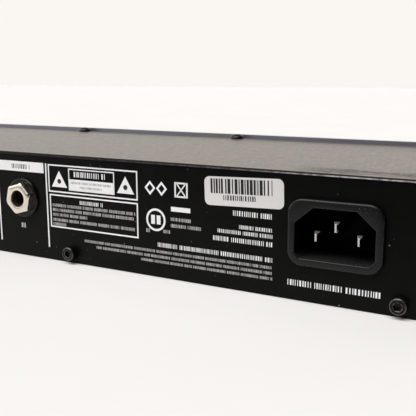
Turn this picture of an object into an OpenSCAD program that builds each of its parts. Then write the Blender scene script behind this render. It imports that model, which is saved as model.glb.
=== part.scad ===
// One-rack-unit stereo effects processor: folded steel case, rack front panel, rear connector panel,
// three circuit boards, potentiometers, push buttons, rocker mains switch.
// X runs along the rack width (right when facing the front), Y runs from front to rear, Z is up.
// Origin: centre of the footprint, on the plane that the case stands on.

/* [Front panel] */
// Overall width across the rack ears
panel_w = 482.6; // [482.6:0.1:482.6]
// Height of the front panel
panel_h = 44; // [43.4:0.1:44.2]
// Thickness of the front panel
panel_t = 3; // [2:0.5:4]
// Distance between the rack slots of the two ears
slot_pitch_x = 465.1; // [465.1:0.1:465.1]
// Distance between the two slots of one ear
slot_pitch_z = 31.75; // [31.75:0.01:31.75]
// Slot length
slot_len = 10; // [9:0.5:11]
// Slot height
slot_h = 7; // [6.5:0.1:7.2]

/* [Case] */
// Width of the case between the rack ears
body_w = 434; // [430:1:440]
// Height of the case to the top of the cover
body_h = 42.4; // [42:0.1:42.8]
// Depth from the back of the front panel to the rear face
body_d = 96.1; // [94:0.1:110]
// Sheet metal thickness
sheet = 1.2; // [1:0.1:1.5]
// Overhang of the cover past the rear panel
cover_over = 0.5; // [0:0.1:1]

/* [Rear panel] */
// Height of the jack axes above the base
jack_z = 23.9; // [23:0.1:24.5]
// X of the pedal jack
pedal_x = -43.4; // [-46:0.1:-40]
// X of the mains inlet
inlet_x = -174; // [-176:0.5:-172]
// Height of the mains inlet centre
inlet_z = 23.1; // [22.5:0.1:23.5]
// Radius of the jack bore
jack_bore_r = 3.25; // [3.2:0.01:3.3]

/* [Controls] */
// Knob length from its skirt to its face
knob_len = 13.5; // [12:0.5:14]
// Radius of the small knobs
knob_r = 7; // [6.8:0.1:7.5]
// Radius of the selector knobs
sel_r = 9; // [8.5:0.1:9.5]
// Travel of the push buttons
btn_travel = 0.6; // [0.4:0.1:0.6]
// Half angle between the rocker's two faces
rocker_half = 9; // [6:1:10]

/* [Hidden] */
$fn = 48;
e = 0.01;
knob_gap = 1;
sleeve_len = 9;
yf = -(panel_t + knob_gap + knob_len + body_d + sleeve_len) / 2 + panel_t + knob_gap + knob_len; // back of the front panel
yr = yf + body_d;          // outer face of the rear panel
ypf = yf - panel_t;        // front face of the front panel
cz = panel_h / 2;
cu = body_h - sheet;       // underside of the cover
hw = body_w / 2;
board_z = 9.2;             // underside of the boards
board_t = 1.6;
bt = board_z + board_t;    // top of the boards
fb_y = yf + 9.6;           // front face of the front board
ctl_z = 21.85;
screw_x = [-186.2, -93.1, 0, 93.1, 186.2];
rear_screw_x = [-194.8, -67.5, 67.5, 194.8];
rear_screw_z = 4;
side_screw_y = [yf + 22, yr - 22];
side_screw_z = 7.5;
jack_x = [pedal_x, 108, 133, 163, 188];
midi_x = [-15, 10];
usb_x = 35;
rca_x = [58, 78];
small_x = [-160, -124, -26, 6, 190];   // small knobs: input, mix, time, feedback, decay
sel_x = [-62, 152];                    // selector knobs: effect, reverb
btn_pos = [[38, ctl_z], [100, 28.4], [100, 15.3], [115, 28.4], [115, 15.3]]; // tap, preset up, preset down, store, bypass
disp_x = 72;
rock_x = -197;
led_x = [-144, -139];
led_z = [11.1, 18.3, 25.4, 32.6];

// ---------- helpers ----------
// 2D shape in the X-Z plane, extruded from y0 to y1
module yext(y0, y1) { translate([0, y1, 0]) rotate([90, 0, 0]) linear_extrude(y1 - y0) children(); }
// 2D shape in the Y-Z plane, extruded from x0 to x1
module xext(x0, x1) { translate([x0, 0, 0]) rotate([90, 0, 90]) linear_extrude(x1 - x0) children(); }
// cylinder along Y
module ycyl(r, y0, y1, x, z) { translate([x, y1, z]) rotate([90, 0, 0]) cylinder(r = r, h = y1 - y0); }
module ycone(ra, rb, y0, y1, x, z) { translate([x, y1, z]) rotate([90, 0, 0]) cylinder(r1 = rb, r2 = ra, h = y1 - y0); }
module box(x0, x1, y0, y1, z0, z1) { translate([x0, y0, z0]) cube([x1 - x0, y1 - y0, z1 - z0]); }
module rr(w, h, r) {
  square([w - 2 * r, h], center = true);
  square([w, h - 2 * r], center = true);
  for (i = [-1, 1], j = [-1, 1]) translate([i * (w / 2 - r), j * (h / 2 - r)]) circle(r = r);
}
module slot2(l, h) { square([l - h, h], center = true); for (i = [-1, 1]) translate([i * (l - h) / 2, 0]) circle(r = h / 2); }
// hexagon by its distance across the flats
module hex2(af, a = 0) { rotate(a) circle(r = af / sqrt(3), $fn = 6); }

// Button-head socket screw, axis along +Z, bearing face at 0
module button_screw(len = 6, hr = 3.1, hh = 1.9) {
  difference() {
    union() {
      rotate_extrude() polygon([[0, 0], [hr, 0], [hr, 0.45], [hr - 0.14, 0.85], [hr - 0.4, 1.22], [hr - 0.75, 1.54], [hr - 1.15, hh - 0.1], [hr - 1.4, hh], [0, hh]]);
      translate([0, 0, -len]) cylinder(r = 1.25, h = len);
    }
    translate([0, 0, hh - 1.3]) cylinder(r = 2.5 / sqrt(3), h = 3, $fn = 6);
  }
}
// Cap-head socket screw with a rounded rim, axis along +Z, bearing face at 0
module cap_screw(len = 5, hr = 2.75, hh = 3) {
  difference() {
    union() {
      rotate_extrude() polygon([[0, 0], [hr, 0], [hr, hh - 0.75], [hr - 0.1, hh - 0.4], [hr - 0.35, hh - 0.12], [hr - 0.65, hh], [0, hh]]);
      translate([0, 0, -len]) cylinder(r = 1.25, h = len);
    }
    translate([0, 0, hh - 1.6]) cylinder(r = 2.5 / sqrt(3), h = 3, $fn = 6);
  }
}
// Pan-head screw
module pan_screw(len = 6, hr = 2.6, hh = 1.8) {
  difference() {
    union() {
      rotate_extrude() polygon([[0, 0], [hr, 0], [hr, hh * 0.55], [hr - 0.5, hh * 0.85], [hr - 1.1, hh], [0, hh]]);
      translate([0, 0, -len]) cylinder(r = 1.25, h = len);
    }
    for (a = [0, 90]) rotate(a) translate([-1.3, -0.25, hh - 0.9]) cube([2.6, 0.5, 2]);
  }
}
// Countersunk screw, head face at 0, shank below
module flat_screw(len = 5, hr = 2.75, rim = 0.2, soc = 1.0) {
  difference() {
    rotate_extrude() polygon([[0, 0], [hr, 0], [hr, -rim], [1.25, -rim - hr + 1.25], [1.25, -len], [0, -len]]);
    translate([0, 0, -soc]) cylinder(r = 2.0 / sqrt(3), h = 3, $fn = 6);
  }
}

// ---------- case ----------
module base_tray() {
  color([0.06, 0.06, 0.065]) difference() {
    union() {
      box(-hw + sheet + 0.2, hw - sheet - 0.2, yf, yr - sheet, 0, sheet);
      // rear flange that the rear panel screws into
      box(-hw + 4, hw - 4, yr - 2 * sheet, yr - sheet, 0, 9);
      // side flanges that the cover's skirts are screwed to
      for (s = [-1, 1]) translate([s > 0 ? hw - 2 * sheet - 0.2 : -hw + sheet + 0.2, yf + 3, 0]) cube([sheet, body_d - 9, 16]);
    }
    for (x = rear_screw_x) ycyl(1.3, yr - 3 * sheet, yr, x, rear_screw_z);
    for (s = [-1, 1], y = side_screw_y) translate([s * hw, y, side_screw_z]) rotate([0, 90, 0]) cylinder(r = 1.3, h = 12, center = true);
    // countersunk holes for the screws that hold the bracket
    for (x = [-200, -70, 70, 200]) translate([x, yf + 7, 0]) rotate_extrude() polygon([[0, -1], [2.3, -1], [2.3, 0.18], [1.35, 1.13], [1.35, 2], [0, 2]]);
  }
}
module rear_cutouts() {
  for (x = jack_x) ycyl(4.7, yr - 3, yr + 3, x, jack_z);
  for (x = midi_x) ycyl(7.8, yr - 3, yr + 3, x, jack_z - 2);
  for (x = rca_x) ycyl(5.1, yr - 3, yr + 3, x, 21);
  translate([usb_x, 0, 17]) yext(yr - 3, yr + 3) square([12.4, 11.4], center = true);
  translate([inlet_x, 0, inlet_z]) yext(yr - 3, yr + 3) rr(27.6, 20.2, 1.5);
  for (x = rear_screw_x) ycyl(1.6, yr - 3, yr + 3, x, rear_screw_z);
}
module rear_panel() {
  color([0.03, 0.03, 0.032]) difference() {
    box(-hw, hw, yr - sheet, yr, 0, cu);
    rear_cutouts();
  }
}
// section of the folded cover, kept above zmin
module cover2(zmin) {
  intersection() {
    difference() {
      union() {
        translate([-hw, 0.3]) square([2 * hw, body_h - 1.5 - 0.3]);
        translate([-hw + 1.5, 0.3]) square([2 * hw - 3, body_h - 0.3]);
        for (s = [-1, 1]) translate([s * (hw - 1.5), body_h - 1.5]) circle(r = 1.5);
      }
      translate([-hw + sheet, -1]) square([2 * (hw - sheet), cu + 1]);
    }
    translate([-hw - 1, zmin]) square([2 * hw + 2, 60]);
  }
}
module top_cover() {
  color([0.1, 0.1, 0.1]) difference() {
    union() {
      yext(yf + 0.2, yr - sheet - 0.2) cover2(0);
      yext(yr - sheet - 0.3, yr + cover_over - 0.6) cover2(cu);
      // rounded rear edge
      xext(-hw + 1.5, hw - 1.5) {
        polygon([[yr - 1, cu], [yr + cover_over - 0.25, cu], [yr + cover_over, cu + 0.25], [yr + cover_over, body_h - 0.6], [yr - 1, body_h - 0.6]]);
        translate([yr + cover_over - 0.6, body_h - 0.6]) circle(r = 0.6);
      }
      // hook lip inside the rear panel
      box(-200, 200, yr - sheet - 1.2, yr - sheet - 0.2, 37.4, cu + 0.1);
    }
    for (x = screw_x) translate([x, yf + 3.6, cu - 1]) cylinder(r = 1.6, h = 4);
    for (s = [-1, 1], y = side_screw_y) translate([s * hw, y, side_screw_z]) rotate([0, 90, 0]) cylinder(r = 1.6, h = 6, center = true);
  }
}
module bracket_flanges() {
  color("silver") difference() {
    union() {
      box(-213.8, 213.8, yf + sheet, yf + 12, cu - sheet, cu);
      box(-213.8, 213.8, yf + sheet, yf + 12, sheet, 2 * sheet);
    }
    for (x = screw_x) translate([x, yf + 3.6, cu - 3]) cylinder(r = 1.3, h = 4);
    for (x = [-200, -70, 70, 200]) translate([x, yf + 7, 0]) cylinder(r = 1.3, h = 4);
  }
}
module front_bracket() {
  color("silver") difference() {
    box(-213.8, 213.8, yf, yf + sheet, sheet, cu);
    for (x = [-208, 208], z = [9, 34.7]) ycyl(1.3, yf - 1, yf + 3, x, z);
    for (x = small_x) ycyl(3.6, yf - 1, yf + 3, x, ctl_z);
    for (x = sel_x) ycyl(3.6, yf - 1, yf + 3, x, ctl_z);
    for (b = btn_pos) translate([b[0], 0, b[1]]) yext(yf - 1, yf + 3) square([8.8, 5.8], center = true);
    for (x = led_x, z = led_z) ycyl(1.8, yf - 1, yf + 3, x, z);
    translate([disp_x, 0, ctl_z]) yext(yf - 1, yf + 3) square([41, 22], center = true);
    translate([rock_x, 0, ctl_z]) yext(yf - 1, yf + 3) square([13.6, 19.6], center = true);
  }
}
module front_panel() {
  color([0.36, 0.37, 0.41]) difference() {
    // plate with a small bevel round its front face
    intersection() {
      xext(-panel_w / 2, panel_w / 2) polygon([[ypf, 0.5], [ypf + 0.5, 0], [yf, 0], [yf, panel_h], [ypf + 0.5, panel_h], [ypf, panel_h - 0.5]]);
      linear_extrude(panel_h) polygon([[-panel_w / 2 + 0.5, ypf], [panel_w / 2 - 0.5, ypf], [panel_w / 2, ypf + 0.5], [panel_w / 2, yf], [-panel_w / 2, yf], [-panel_w / 2, ypf + 0.5]]);
    }
    for (s = [-1, 1], t = [-1, 1]) translate([s * slot_pitch_x / 2, 0, cz + t * slot_pitch_z / 2]) yext(ypf - 1, yf + 1) slot2(slot_len, slot_h);
    for (x = small_x) ycyl(6, ypf - 1, yf + 1, x, ctl_z);
    for (x = sel_x) ycyl(6, ypf - 1, yf + 1, x, ctl_z);
    for (b = btn_pos) translate([b[0], 0, b[1]]) yext(ypf - 1, yf + 1) rr(8.5, 5.5, 1);
    for (x = led_x, z = led_z) ycyl(1.6, ypf - 1, yf + 1, x, z);
    translate([disp_x, 0, ctl_z]) yext(ypf - 1, yf + 1) rr(36.4, 17.4, 1.2);
    translate([rock_x, 0, ctl_z]) yext(ypf - 1, yf + 1) square([13.4, 19.4], center = true);
    for (x = [-208, 208], z = [9, 34.7]) translate([x, ypf, z]) rotate([-90, 0, 0]) rotate_extrude() polygon([[0, -1], [2.85, -1], [2.85, 0.35], [1.5, 1.7], [1.5, panel_t + 1], [0, panel_t + 1]]);
  }
}

// ---------- fasteners ----------
module cover_screws() {
  color([0.05, 0.05, 0.05]) {
    for (x = screw_x) translate([x, yf + 3.6, body_h]) button_screw(5);
    for (s = [-1, 1], y = side_screw_y) translate([s * hw, y, side_screw_z]) rotate([0, s * 90, 0]) button_screw(5);
  }
}
module rear_panel_screws() { color([0.05, 0.05, 0.05]) for (x = rear_screw_x) translate([x, yr, rear_screw_z]) rotate([-90, 0, 0]) rotate(15) cap_screw(5); }
module front_panel_screws() { color([0.3, 0.3, 0.33]) for (x = [-208, 208], z = [9, 34.7]) translate([x, ypf + 0.1, z]) rotate([90, 0, 0]) flat_screw(6); }
module tray_screws() { color([0.05, 0.05, 0.05]) for (x = [-200, -70, 70, 200]) translate([x, yf + 7, 0.05]) rotate([180, 0, 0]) flat_screw(5, 2.2, 0.05, 0.8); }
board_fix = [[-86, yf + 20], [-86, yr - 8], [60, yf + 20], [60 - 13, yr - 24], [207, yf + 20], [207, yr - 8],
  [-206, yf + 19], [-206, yr - 35], [-103, yf + 19], [-103, yr - 35]];
module board_standoffs() { color("silver") for (p = board_fix) translate([p[0], p[1], sheet]) difference() { cylinder(r = 5 / sqrt(3), h = board_z - sheet, $fn = 6); translate([0, 0, 1]) cylinder(r = 1.3, h = 20); } }
module board_screws() { color("silver") for (p = board_fix) translate([p[0], p[1], bt]) pan_screw(5); }

// ---------- boards ----------
module board_holes() { for (p = board_fix) translate([p[0], p[1], board_z - 1]) cylinder(r = 1.6, h = 4); }
module main_board() { color([0.03, 0.25, 0.12]) difference() { box(-92, 211, yf + 15, yr - 2.8, board_z, bt); board_holes(); } }
module power_board() { color([0.03, 0.25, 0.12]) difference() { box(-211, -97, yf + 14, yr - 30, board_z, bt); board_holes(); } }
module front_board() {
  color([0.03, 0.25, 0.12]) difference() {
    box(-182, 210, fb_y, fb_y + board_t, 4, 38);
    for (x = small_x) ycyl(1, fb_y - 1, fb_y + 3, x - 12, 36);
  }
}
module ic(x, y, w, d, h = 1.6) { box(x - w / 2, x + w / 2, y - d / 2, y + d / 2, bt, bt + h); for (i = [0 : 1 : floor((w - 2) / 2.5)]) for (s = [-1, 1]) translate([x - (w - 2) / 2 + i * 2.5, y + s * (d / 2 + 0.6), bt + 0.3]) cube([0.5, 1.2, 0.6], center = true); }
module board_chips() {
  color([0.05, 0.05, 0.05]) {
    ic(-20, -6, 20, 20, 1.8);
    ic(20, -8, 14, 10, 1.4);
    ic(-52, -4, 12, 8);
    ic(90, 2, 12, 8);
    ic(120, 2, 12, 8);
    ic(150, 2, 12, 8);
    ic(180, 2, 12, 8);
  }
}

// ---------- controls ----------
module pot_body(x, z) {
  difference() {
    union() {
      box(x - 5, x + 5, yf + sheet + 1.2, fb_y, z - 6.5, z + 5.5);
      ycyl(3.45, yf - 2.4, yf + sheet + 1.3, x, z);
      ycyl(4.6, yf + sheet, yf + sheet + 1.3, x, z);
    }
    ycyl(3.05, yf - 4, yf + 6.6, x, z);
  }
}
module pot_bodies() { color([0.2, 0.3, 0.5]) for (x = small_x) pot_body(x, ctl_z); }
module selector_bodies() {
  color([0.25, 0.25, 0.27]) for (x = sel_x) difference() {
    union() {
      box(x - 6.5, x + 6.5, yf + sheet + 1.2, fb_y, ctl_z - 7, ctl_z + 7);
      ycyl(3.45, yf - 2.4, yf + sheet + 1.3, x, ctl_z);
      ycyl(5.2, yf + sheet, yf + sheet + 1.3, x, ctl_z);
    }
    ycyl(3.05, yf - 4, yf + 6.6, x, ctl_z);
  }
}
module pot_nuts() { color("silver") for (x = concat(small_x, sel_x)) difference() { translate([x, 0, ctl_z]) yext(yf - 2, yf) hex2(9.6, 30); ycyl(3.5, yf - 3, yf + 1, x, ctl_z); } }
module shaft(x) { color("silver") difference() { ycyl(3, ypf - knob_gap - 9, yf + 6.2, x, ctl_z); box(x - 4, x + 4, ypf - knob_gap - 20, ypf - knob_gap - 3, ctl_z + 1.6, ctl_z + 4); } }
module knob(x, r, n) {
  y0 = ypf - knob_gap - knob_len;
  y1 = ypf - knob_gap;
  color([0.08, 0.08, 0.085]) difference() {
    translate([x, y1, ctl_z]) rotate([90, 0, 0]) rotate_extrude() polygon([[0, 0], [r, 0], [r, 1.2], [r - 0.5, 1.8], [r - 0.95, knob_len - 1], [r - 1.5, knob_len - 0.25], [r - 2, knob_len], [0, knob_len]]);
    // grip flutes
    for (i = [0 : n - 1]) translate([x + (r + 0.15) * sin((i + 0.5) * 360 / n), y1 - 2, ctl_z + (r + 0.15) * cos((i + 0.5) * 360 / n)]) rotate([90, 0, 0]) cylinder(r = 0.95, h = knob_len, $fn = 24);
    // shaft bore with its flat
    difference() {
      ycyl(3.03, ypf - knob_gap - 9.1, y1 + 1, x, ctl_z);
      box(x - 4, x + 4, y0, ypf - knob_gap - 3, ctl_z + 1.63, ctl_z + 4);
    }
    // pointer groove
    box(x - 0.4, x + 0.4, y0 - 1, y0 + 0.3, ctl_z + 1.5, ctl_z + r);
  }
}
module button(p) {
  color([0.75, 0.76, 0.78]) translate([p[0], 0, p[1]]) {
    yext(ypf - 1.8, yf + 2.2) rr(8, 5, 0.9);
    yext(yf + sheet + 0.2, yf + sheet + 1.0) rr(10.2, 7, 0.9);
    yext(yf + sheet + 0.9, yf + 4.3) circle(r = 1.6);
  }
}
module tact_switches() {
  color([0.1, 0.1, 0.1]) for (b = btn_pos) {
    translate([b[0], 0, b[1]]) yext(fb_y - 3.5, fb_y) square([6, 6], center = true);
    ycyl(1.7, fb_y - 4.5, fb_y - 3.4, b[0], b[1]);
  }
}
module display_module() { color([0.7, 0.7, 0.68]) translate([disp_x, 0, ctl_z]) yext(yf + 1.8, fb_y) square([25, 18], center = true); }
module display_window() {
  color([0.12, 0.02, 0.03]) translate([disp_x, 0, ctl_z]) {
    yext(ypf + 0.2, yf + 0.1) rr(36, 17, 1);
    yext(yf, yf + 1) rr(40, 21, 1);
  }
}
module level_leds() {
  color([0.75, 0.8, 0.75]) for (x = led_x, z = led_z) {
    ycyl(1.5, ypf - 0.1, yf + 4.4, x, z);
    difference() { translate([x, ypf - 0.1, z]) sphere(r = 1.5); box(x - 3, x + 3, ypf - 0.1 + e, ypf + 5, z - 3, z + 3); }
    ycyl(1.9, yf + 3.4, yf + 4.4, x, z);
    for (s = [-1, 1]) ycyl(0.25, yf + 4.3, fb_y, x, z + s * 0.7);
  }
}
module power_switch_body() {
  color([0.04, 0.04, 0.04]) translate([rock_x, 0, ctl_z]) difference() {
    union() {
      yext(ypf - 1.8, ypf) rr(15.4, 21.4, 1.6);
      yext(ypf - 0.1, yf + 13) square([13, 19], center = true);
      // terminals
      for (z = [-5, 5]) translate([0, yf + 17, z]) cube([4.8, 9, 0.8], center = true);
    }
    yext(ypf - 3, yf + 8) square([10.8, 15.4], center = true);
    translate([0, ypf + 0.2, 0]) rotate([0, 90, 0]) cylinder(r = 1.25, h = 12.4, center = true);
  }
}
// The rocker turns about the X axis through its pin
module power_rocker() {
  h = 7.1;
  color([0.06, 0.06, 0.06]) translate([rock_x, ypf + 0.2, ctl_z]) rotate([rocker_half, 0, 0]) {
    translate([-5.25, 0, 0]) rotate([90, 0, 90]) linear_extrude(10.5)
      polygon([[-2.3, 0], [-2.3 - h * tan(rocker_half), h], [1.2, h - 0.5], [4, 3], [4, -3], [1.2, -h + 0.5], [-2.3 - h * tan(rocker_half), -h]]);
    rotate([0, 90, 0]) cylinder(r = 1.2, h = 12.2, center = true);
  }
}

// ---------- rear connectors ----------
module inlet_cavity2() {
  // chamfered mains inlet opening, local to the inlet centre
  difference() {
    translate([-13, 14.7 - inlet_z]) square([26, 16.65]);
    for (s = [-1, 1]) {
      translate([s * 13, 31.35 - inlet_z]) polygon([[0.5 * s, 0.5], [-6 * s, 0.5], [-6 * s, 0], [0, -5.3], [0.5 * s, -5.3]]);
      translate([s * 13, 14.7 - inlet_z]) polygon([[0.5 * s, -0.5], [-1.8 * s, -0.5], [-1.8 * s, 0], [0, 1.8], [0.5 * s, 1.8]]);
    }
  }
}
module mains_inlet() {
  color([0.045, 0.045, 0.045]) translate([inlet_x, 0, inlet_z]) difference() {
    union() {
      yext(yr, yr + 2) rr(31, 22, 5);
      yext(yr - 22, yr + 0.1) rr(27.2, 19.8, 1.3);
      // snap fingers behind the panel
      for (s = [-1, 1]) translate([s * 13.9, yr - sheet - 3.2, 0]) rotate([0, 0, s * 8]) cube([0.8, 5.6, 8], center = true);
    }
    yext(yr - 16, yr + 3) inlet_cavity2();
    // blade slots in the inner wall
    for (p = [[7, -1.9], [-7, -1.9], [0, 2.1]]) translate([p[0], 0, p[1]]) yext(yr - 30, yr - 10) square([2.02, 4.02], center = true);
  }
}
module inlet_blades() {
  color([0.8, 0.78, 0.72]) translate([inlet_x, 0, inlet_z]) for (p = [[7, -1.9, -1.3], [-7, -1.9, -1.3], [0, 2.1, 0.3]]) translate([p[0], 0, p[1]]) {
    // blade with a chamfered tip
    intersection() {
      xext(-1, 1) polygon([[yr - 22, -2], [yr + p[2] - 1.5, -2], [yr + p[2], -1.15], [yr + p[2], 1.15], [yr + p[2] - 1.5, 2], [yr - 22, 2]]);
      translate([0, 0, -3]) linear_extrude(6) polygon([[-1, yr - 23], [1, yr - 23], [1, yr + p[2] - 1.5], [0.3, yr + p[2] + 0.01], [-0.3, yr + p[2] + 0.01], [-1, yr + p[2] - 1.5]]);
    }
    // solder tab
    translate([0, yr - 25.9, 0]) cube([0.8, 8, 4], center = true);
  }
}
module jack_body(x) {
  difference() {
    union() {
      box(x - 11, x + 11, yr - sheet - 30, yr - sheet, bt, 36.6);
      ycyl(4.5, yr - sheet - 1, yr + 2.9, x, jack_z);
    }
    ycyl(jack_bore_r, yr - sheet - 26.2, yr + 4, x, jack_z);
    // relief groove round the bushing root and terminal side windows
    for (s = [-1, 1]) box(x + s * 11 - 0.8, x + s * 11 + 0.8, yr - 27, yr - 8, bt - 1, 16);
  }
}
module jack_bodies() { color([0.06, 0.06, 0.06]) for (x = jack_x) jack_body(x); }
module jack_washers() { color([0.05, 0.05, 0.05]) for (x = jack_x) difference() { ycyl(8, yr, yr + 1, x, jack_z); ycyl(4.6, yr - 1, yr + 3, x, jack_z); } }
module jack_nuts() {
  color([0.85, 0.82, 0.76]) for (i = [0 : len(jack_x) - 1]) difference() {
    intersection() {
      translate([jack_x[i], 0, jack_z]) yext(yr + 1, yr + 3.6) hex2(11.4, 44 - i * 13);
      ycone(7.3, 6.1, yr + 0.9, yr + 3.61, jack_x[i], jack_z);
    }
    ycyl(4.55, yr, yr + 2.95, jack_x[i], jack_z);
    ycyl(3.3, yr, yr + 4, jack_x[i], jack_z);
  }
}
module midi_sockets() {
  z = jack_z - 2;
  color([0.07, 0.07, 0.07]) for (x = midi_x) difference() {
    union() {
      box(x - 10, x + 10, yr - sheet - 13, yr - sheet, bt, 33);
      ycyl(7.6, yr - sheet - 1, yr + 0.6, x, z);
    }
    // ring-shaped recess and contact holes
    difference() {
      ycyl(6.7, yr - 9.4, yr + 2, x, z);
      ycyl(4.9, yr - 12, yr - 3, x, z);
    }
    for (a = [0, 45, 90, 135, 180]) translate([x + 3.2 * cos(a), 0, z + 1 - 3.2 * sin(a)]) yext(yr - 9, yr + 1) circle(r = 0.85, $fn = 6);
  }
}
module digital_sockets() {
  z = 21;
  for (x = rca_x) {
    color([0.06, 0.06, 0.06]) difference() {
      union() {
        box(x - 6, x + 6, yr - sheet - 11, yr - sheet, bt, 28);
        ycyl(5, yr - sheet - 1, yr + 0.5, x, z);
      }
      ycyl(4, yr - 3, yr + 3, x, z);
    }
    color("gold") difference() {
      union() { ycyl(4.15, yr + 0.6, yr + sleeve_len, x, z); ycyl(3.9, yr - 3, yr + 0.7, x, z); }
      ycyl(1.7, yr - 1, yr + sleeve_len + 1, x, z);
      difference() { ycyl(3.5, yr + sleeve_len - 1.2, yr + sleeve_len + 1, x, z); ycyl(2.4, yr, yr + sleeve_len - 0.4, x, z); }
    }
  }
}
module usb_socket() {
  color("silver") translate([usb_x, 0, 17]) difference() {
    union() {
      yext(yr - 16, yr + 0.5) square([12, 11], center = true);
      for (s = [-1, 1]) translate([s * 5.6, yr - 8, -5.85]) cube([0.6, 2, 0.7], center = true);
    }
    yext(yr - 9.5, yr + 2) difference() {
      square([8.5, 7.8], center = true);
      for (s = [-1, 1]) translate([s * 4.25, 3.9]) polygon([[s * 0.1, 0.1], [-s * 1.5, 0.1], [-s * 1.5, 0], [0, -1.5], [s * 0.1, -1.5]]);
      square([5.6, 3.2], center = true);
    }
    yext(yr - 0.8, yr + 2) difference() { square([8.5, 7.8], center = true); for (s = [-1, 1]) translate([s * 4.25, 3.9]) polygon([[s * 0.1, 0.1], [-s * 1.5, 0.1], [-s * 1.5, 0], [0, -1.5], [s * 0.1, -1.5]]); }
  }
}
module serial_label() {
  // rounded paper label, turned slightly as stuck on by hand
  color("white") translate([-141.9, 0, 34.05]) rotate([0, 1.9, 0]) yext(yr, yr + 0.12) rr(29.2, 9.9, 2);
}

// ---------- power supply and wiring ----------
module transformer() {
  color([0.75, 0.65, 0.15]) box(-148, -128, -24, -2, bt + 1, 32);
  color([0.15, 0.15, 0.16]) { box(-151, -125, -18, -8, 33, 36); box(-151, -148, -18, -8, bt, 33); box(-128, -125, -18, -8, bt, 33); }
}
module power_capacitors() {
  color([0.1, 0.12, 0.2]) {
    translate([-166, -12, bt]) cylinder(r = 8, h = 24);
    translate([-112, -14, bt]) cylinder(r = 5, h = 20);
    translate([-112, -2, bt]) cylinder(r = 5, h = 20);
    translate([-112, 10, bt]) cylinder(r = 4, h = 16);
  }
}
module heat_sink() {
  color([0.75, 0.76, 0.78]) union() {
    box(-150, -122, 4, 5.6, bt, 34);
    for (x = [-150, -141.2, -132.4, -123.6]) box(x, x + 1.6, 4, 15, bt, 34);
  }
}
module mains_fuse() {
  color([0.8, 0.8, 0.82]) {
    for (s = [-1, 1]) translate([-190 + s * 8.5, 12, bt + 5]) rotate([0, 90, 0]) cylinder(r = 2.6, h = 5, center = true);
    translate([-190, 12, bt + 5]) rotate([0, 90, 0]) cylinder(r = 2.3, h = 13, center = true);
    for (s = [-1, 1]) box(-190 + s * 8.5 - 2, -190 + s * 8.5 + 2, 10.6, 13.4, bt, bt + 3);
  }
}
// insulated lead swept along its route, one eight-sided ring at each point
function unit(v) = v / norm(v);
module wire(pts, r, n = 8) {
  m = len(pts);
  tang = [for (i = [0 : m - 1]) i == 0 ? unit(pts[1] - pts[0]) : i == m - 1 ? unit(pts[i] - pts[i - 1]) : unit(unit(pts[i + 1] - pts[i]) + unit(pts[i] - pts[i - 1]))];
  rings = [for (i = [0 : m - 1]) let (u = unit(cross(tang[i], [0.83, 0.21, 0.52])), v = cross(tang[i], u)) for (k = [0 : n - 1]) pts[i] + r * (cos(360 * k / n) * u + sin(360 * k / n) * v)];
  polyhedron(rings, concat([[for (k = [0 : n - 1]) k]], [[for (k = [n - 1 : -1 : 0]) (m - 1) * n + k]],
    [for (i = [0 : m - 2], k = [0 : n - 1]) [i * n + k, (i + 1) * n + k, (i + 1) * n + (k + 1) % n, i * n + (k + 1) % n]]));
}
inlet_tab_y = yr - 29.95;
module wiring_leads() { mains_leads(); supply_lead(); }
module mains_leads() {
  sw = yf + 21.6;
  color([0.35, 0.2, 0.1]) wire([[inlet_x - 7, inlet_tab_y, inlet_z - 1.9], [inlet_x - 7, inlet_tab_y - 5, inlet_z - 1.9], [-186, inlet_tab_y - 14, 30], [rock_x, sw + 10, 28], [rock_x, sw, ctl_z + 5]], 1.2);
  color([0.1, 0.2, 0.6]) wire([[inlet_x + 7, inlet_tab_y, inlet_z - 1.9], [inlet_x + 7, inlet_tab_y - 4, inlet_z - 1.9], [-160, 12, 16], [-160, 6, bt + 1.2]], 1.2);
  color([0.3, 0.6, 0.1]) wire([[inlet_x, inlet_tab_y, inlet_z + 2.1], [inlet_x, inlet_tab_y - 5, inlet_z + 2.1], [-176, 8, 18], [-180, 2, bt + 1.2]], 1.2);
  color([0.35, 0.2, 0.1]) wire([[rock_x, sw, ctl_z - 5], [rock_x, sw + 6, ctl_z - 6], [-200, 0, 14], [-201, 3, bt + 1.2]], 1.2);
}
module supply_lead() {
  // four short insulated jumpers between the two boards
  color([0.6, 0.1, 0.1]) for (i = [0 : 3]) translate([0, -14 + 2.6 * i, 0]) yext(-0.7, 0.7)
    polygon([[-99.7, bt], [-98.3, bt], [-98.3, bt + 3.6], [-96.6, bt + 5.2], [-91.4, bt + 5.2], [-89.7, bt + 3.6], [-89.7, bt], [-88.3, bt], [-88.3, bt + 4.2], [-90.8, bt + 6.6], [-97.2, bt + 6.6], [-99.7, bt + 4.2]]);
}
module ribbon_cable() {
  // flat cable from the front board down to the main board
  color([0.7, 0.7, 0.72]) {
    xext(130, 155) polygon([[fb_y + board_t, 30], [fb_y + board_t + 1, 30], [fb_y + 5.5, 30], [fb_y + 8, 27], [fb_y + 8.8, 16], [fb_y + 8.8, bt], [fb_y + 7.8, bt], [fb_y + 7.8, 16], [fb_y + 7, 26.6], [fb_y + 5, 29], [fb_y + board_t, 29]]);
    box(128, 157, fb_y + board_t, fb_y + board_t + 4, 27.4, 31.6);
    box(128, 157, fb_y + 6.2, fb_y + 10.4, bt, bt + 5);
  }
}

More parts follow.
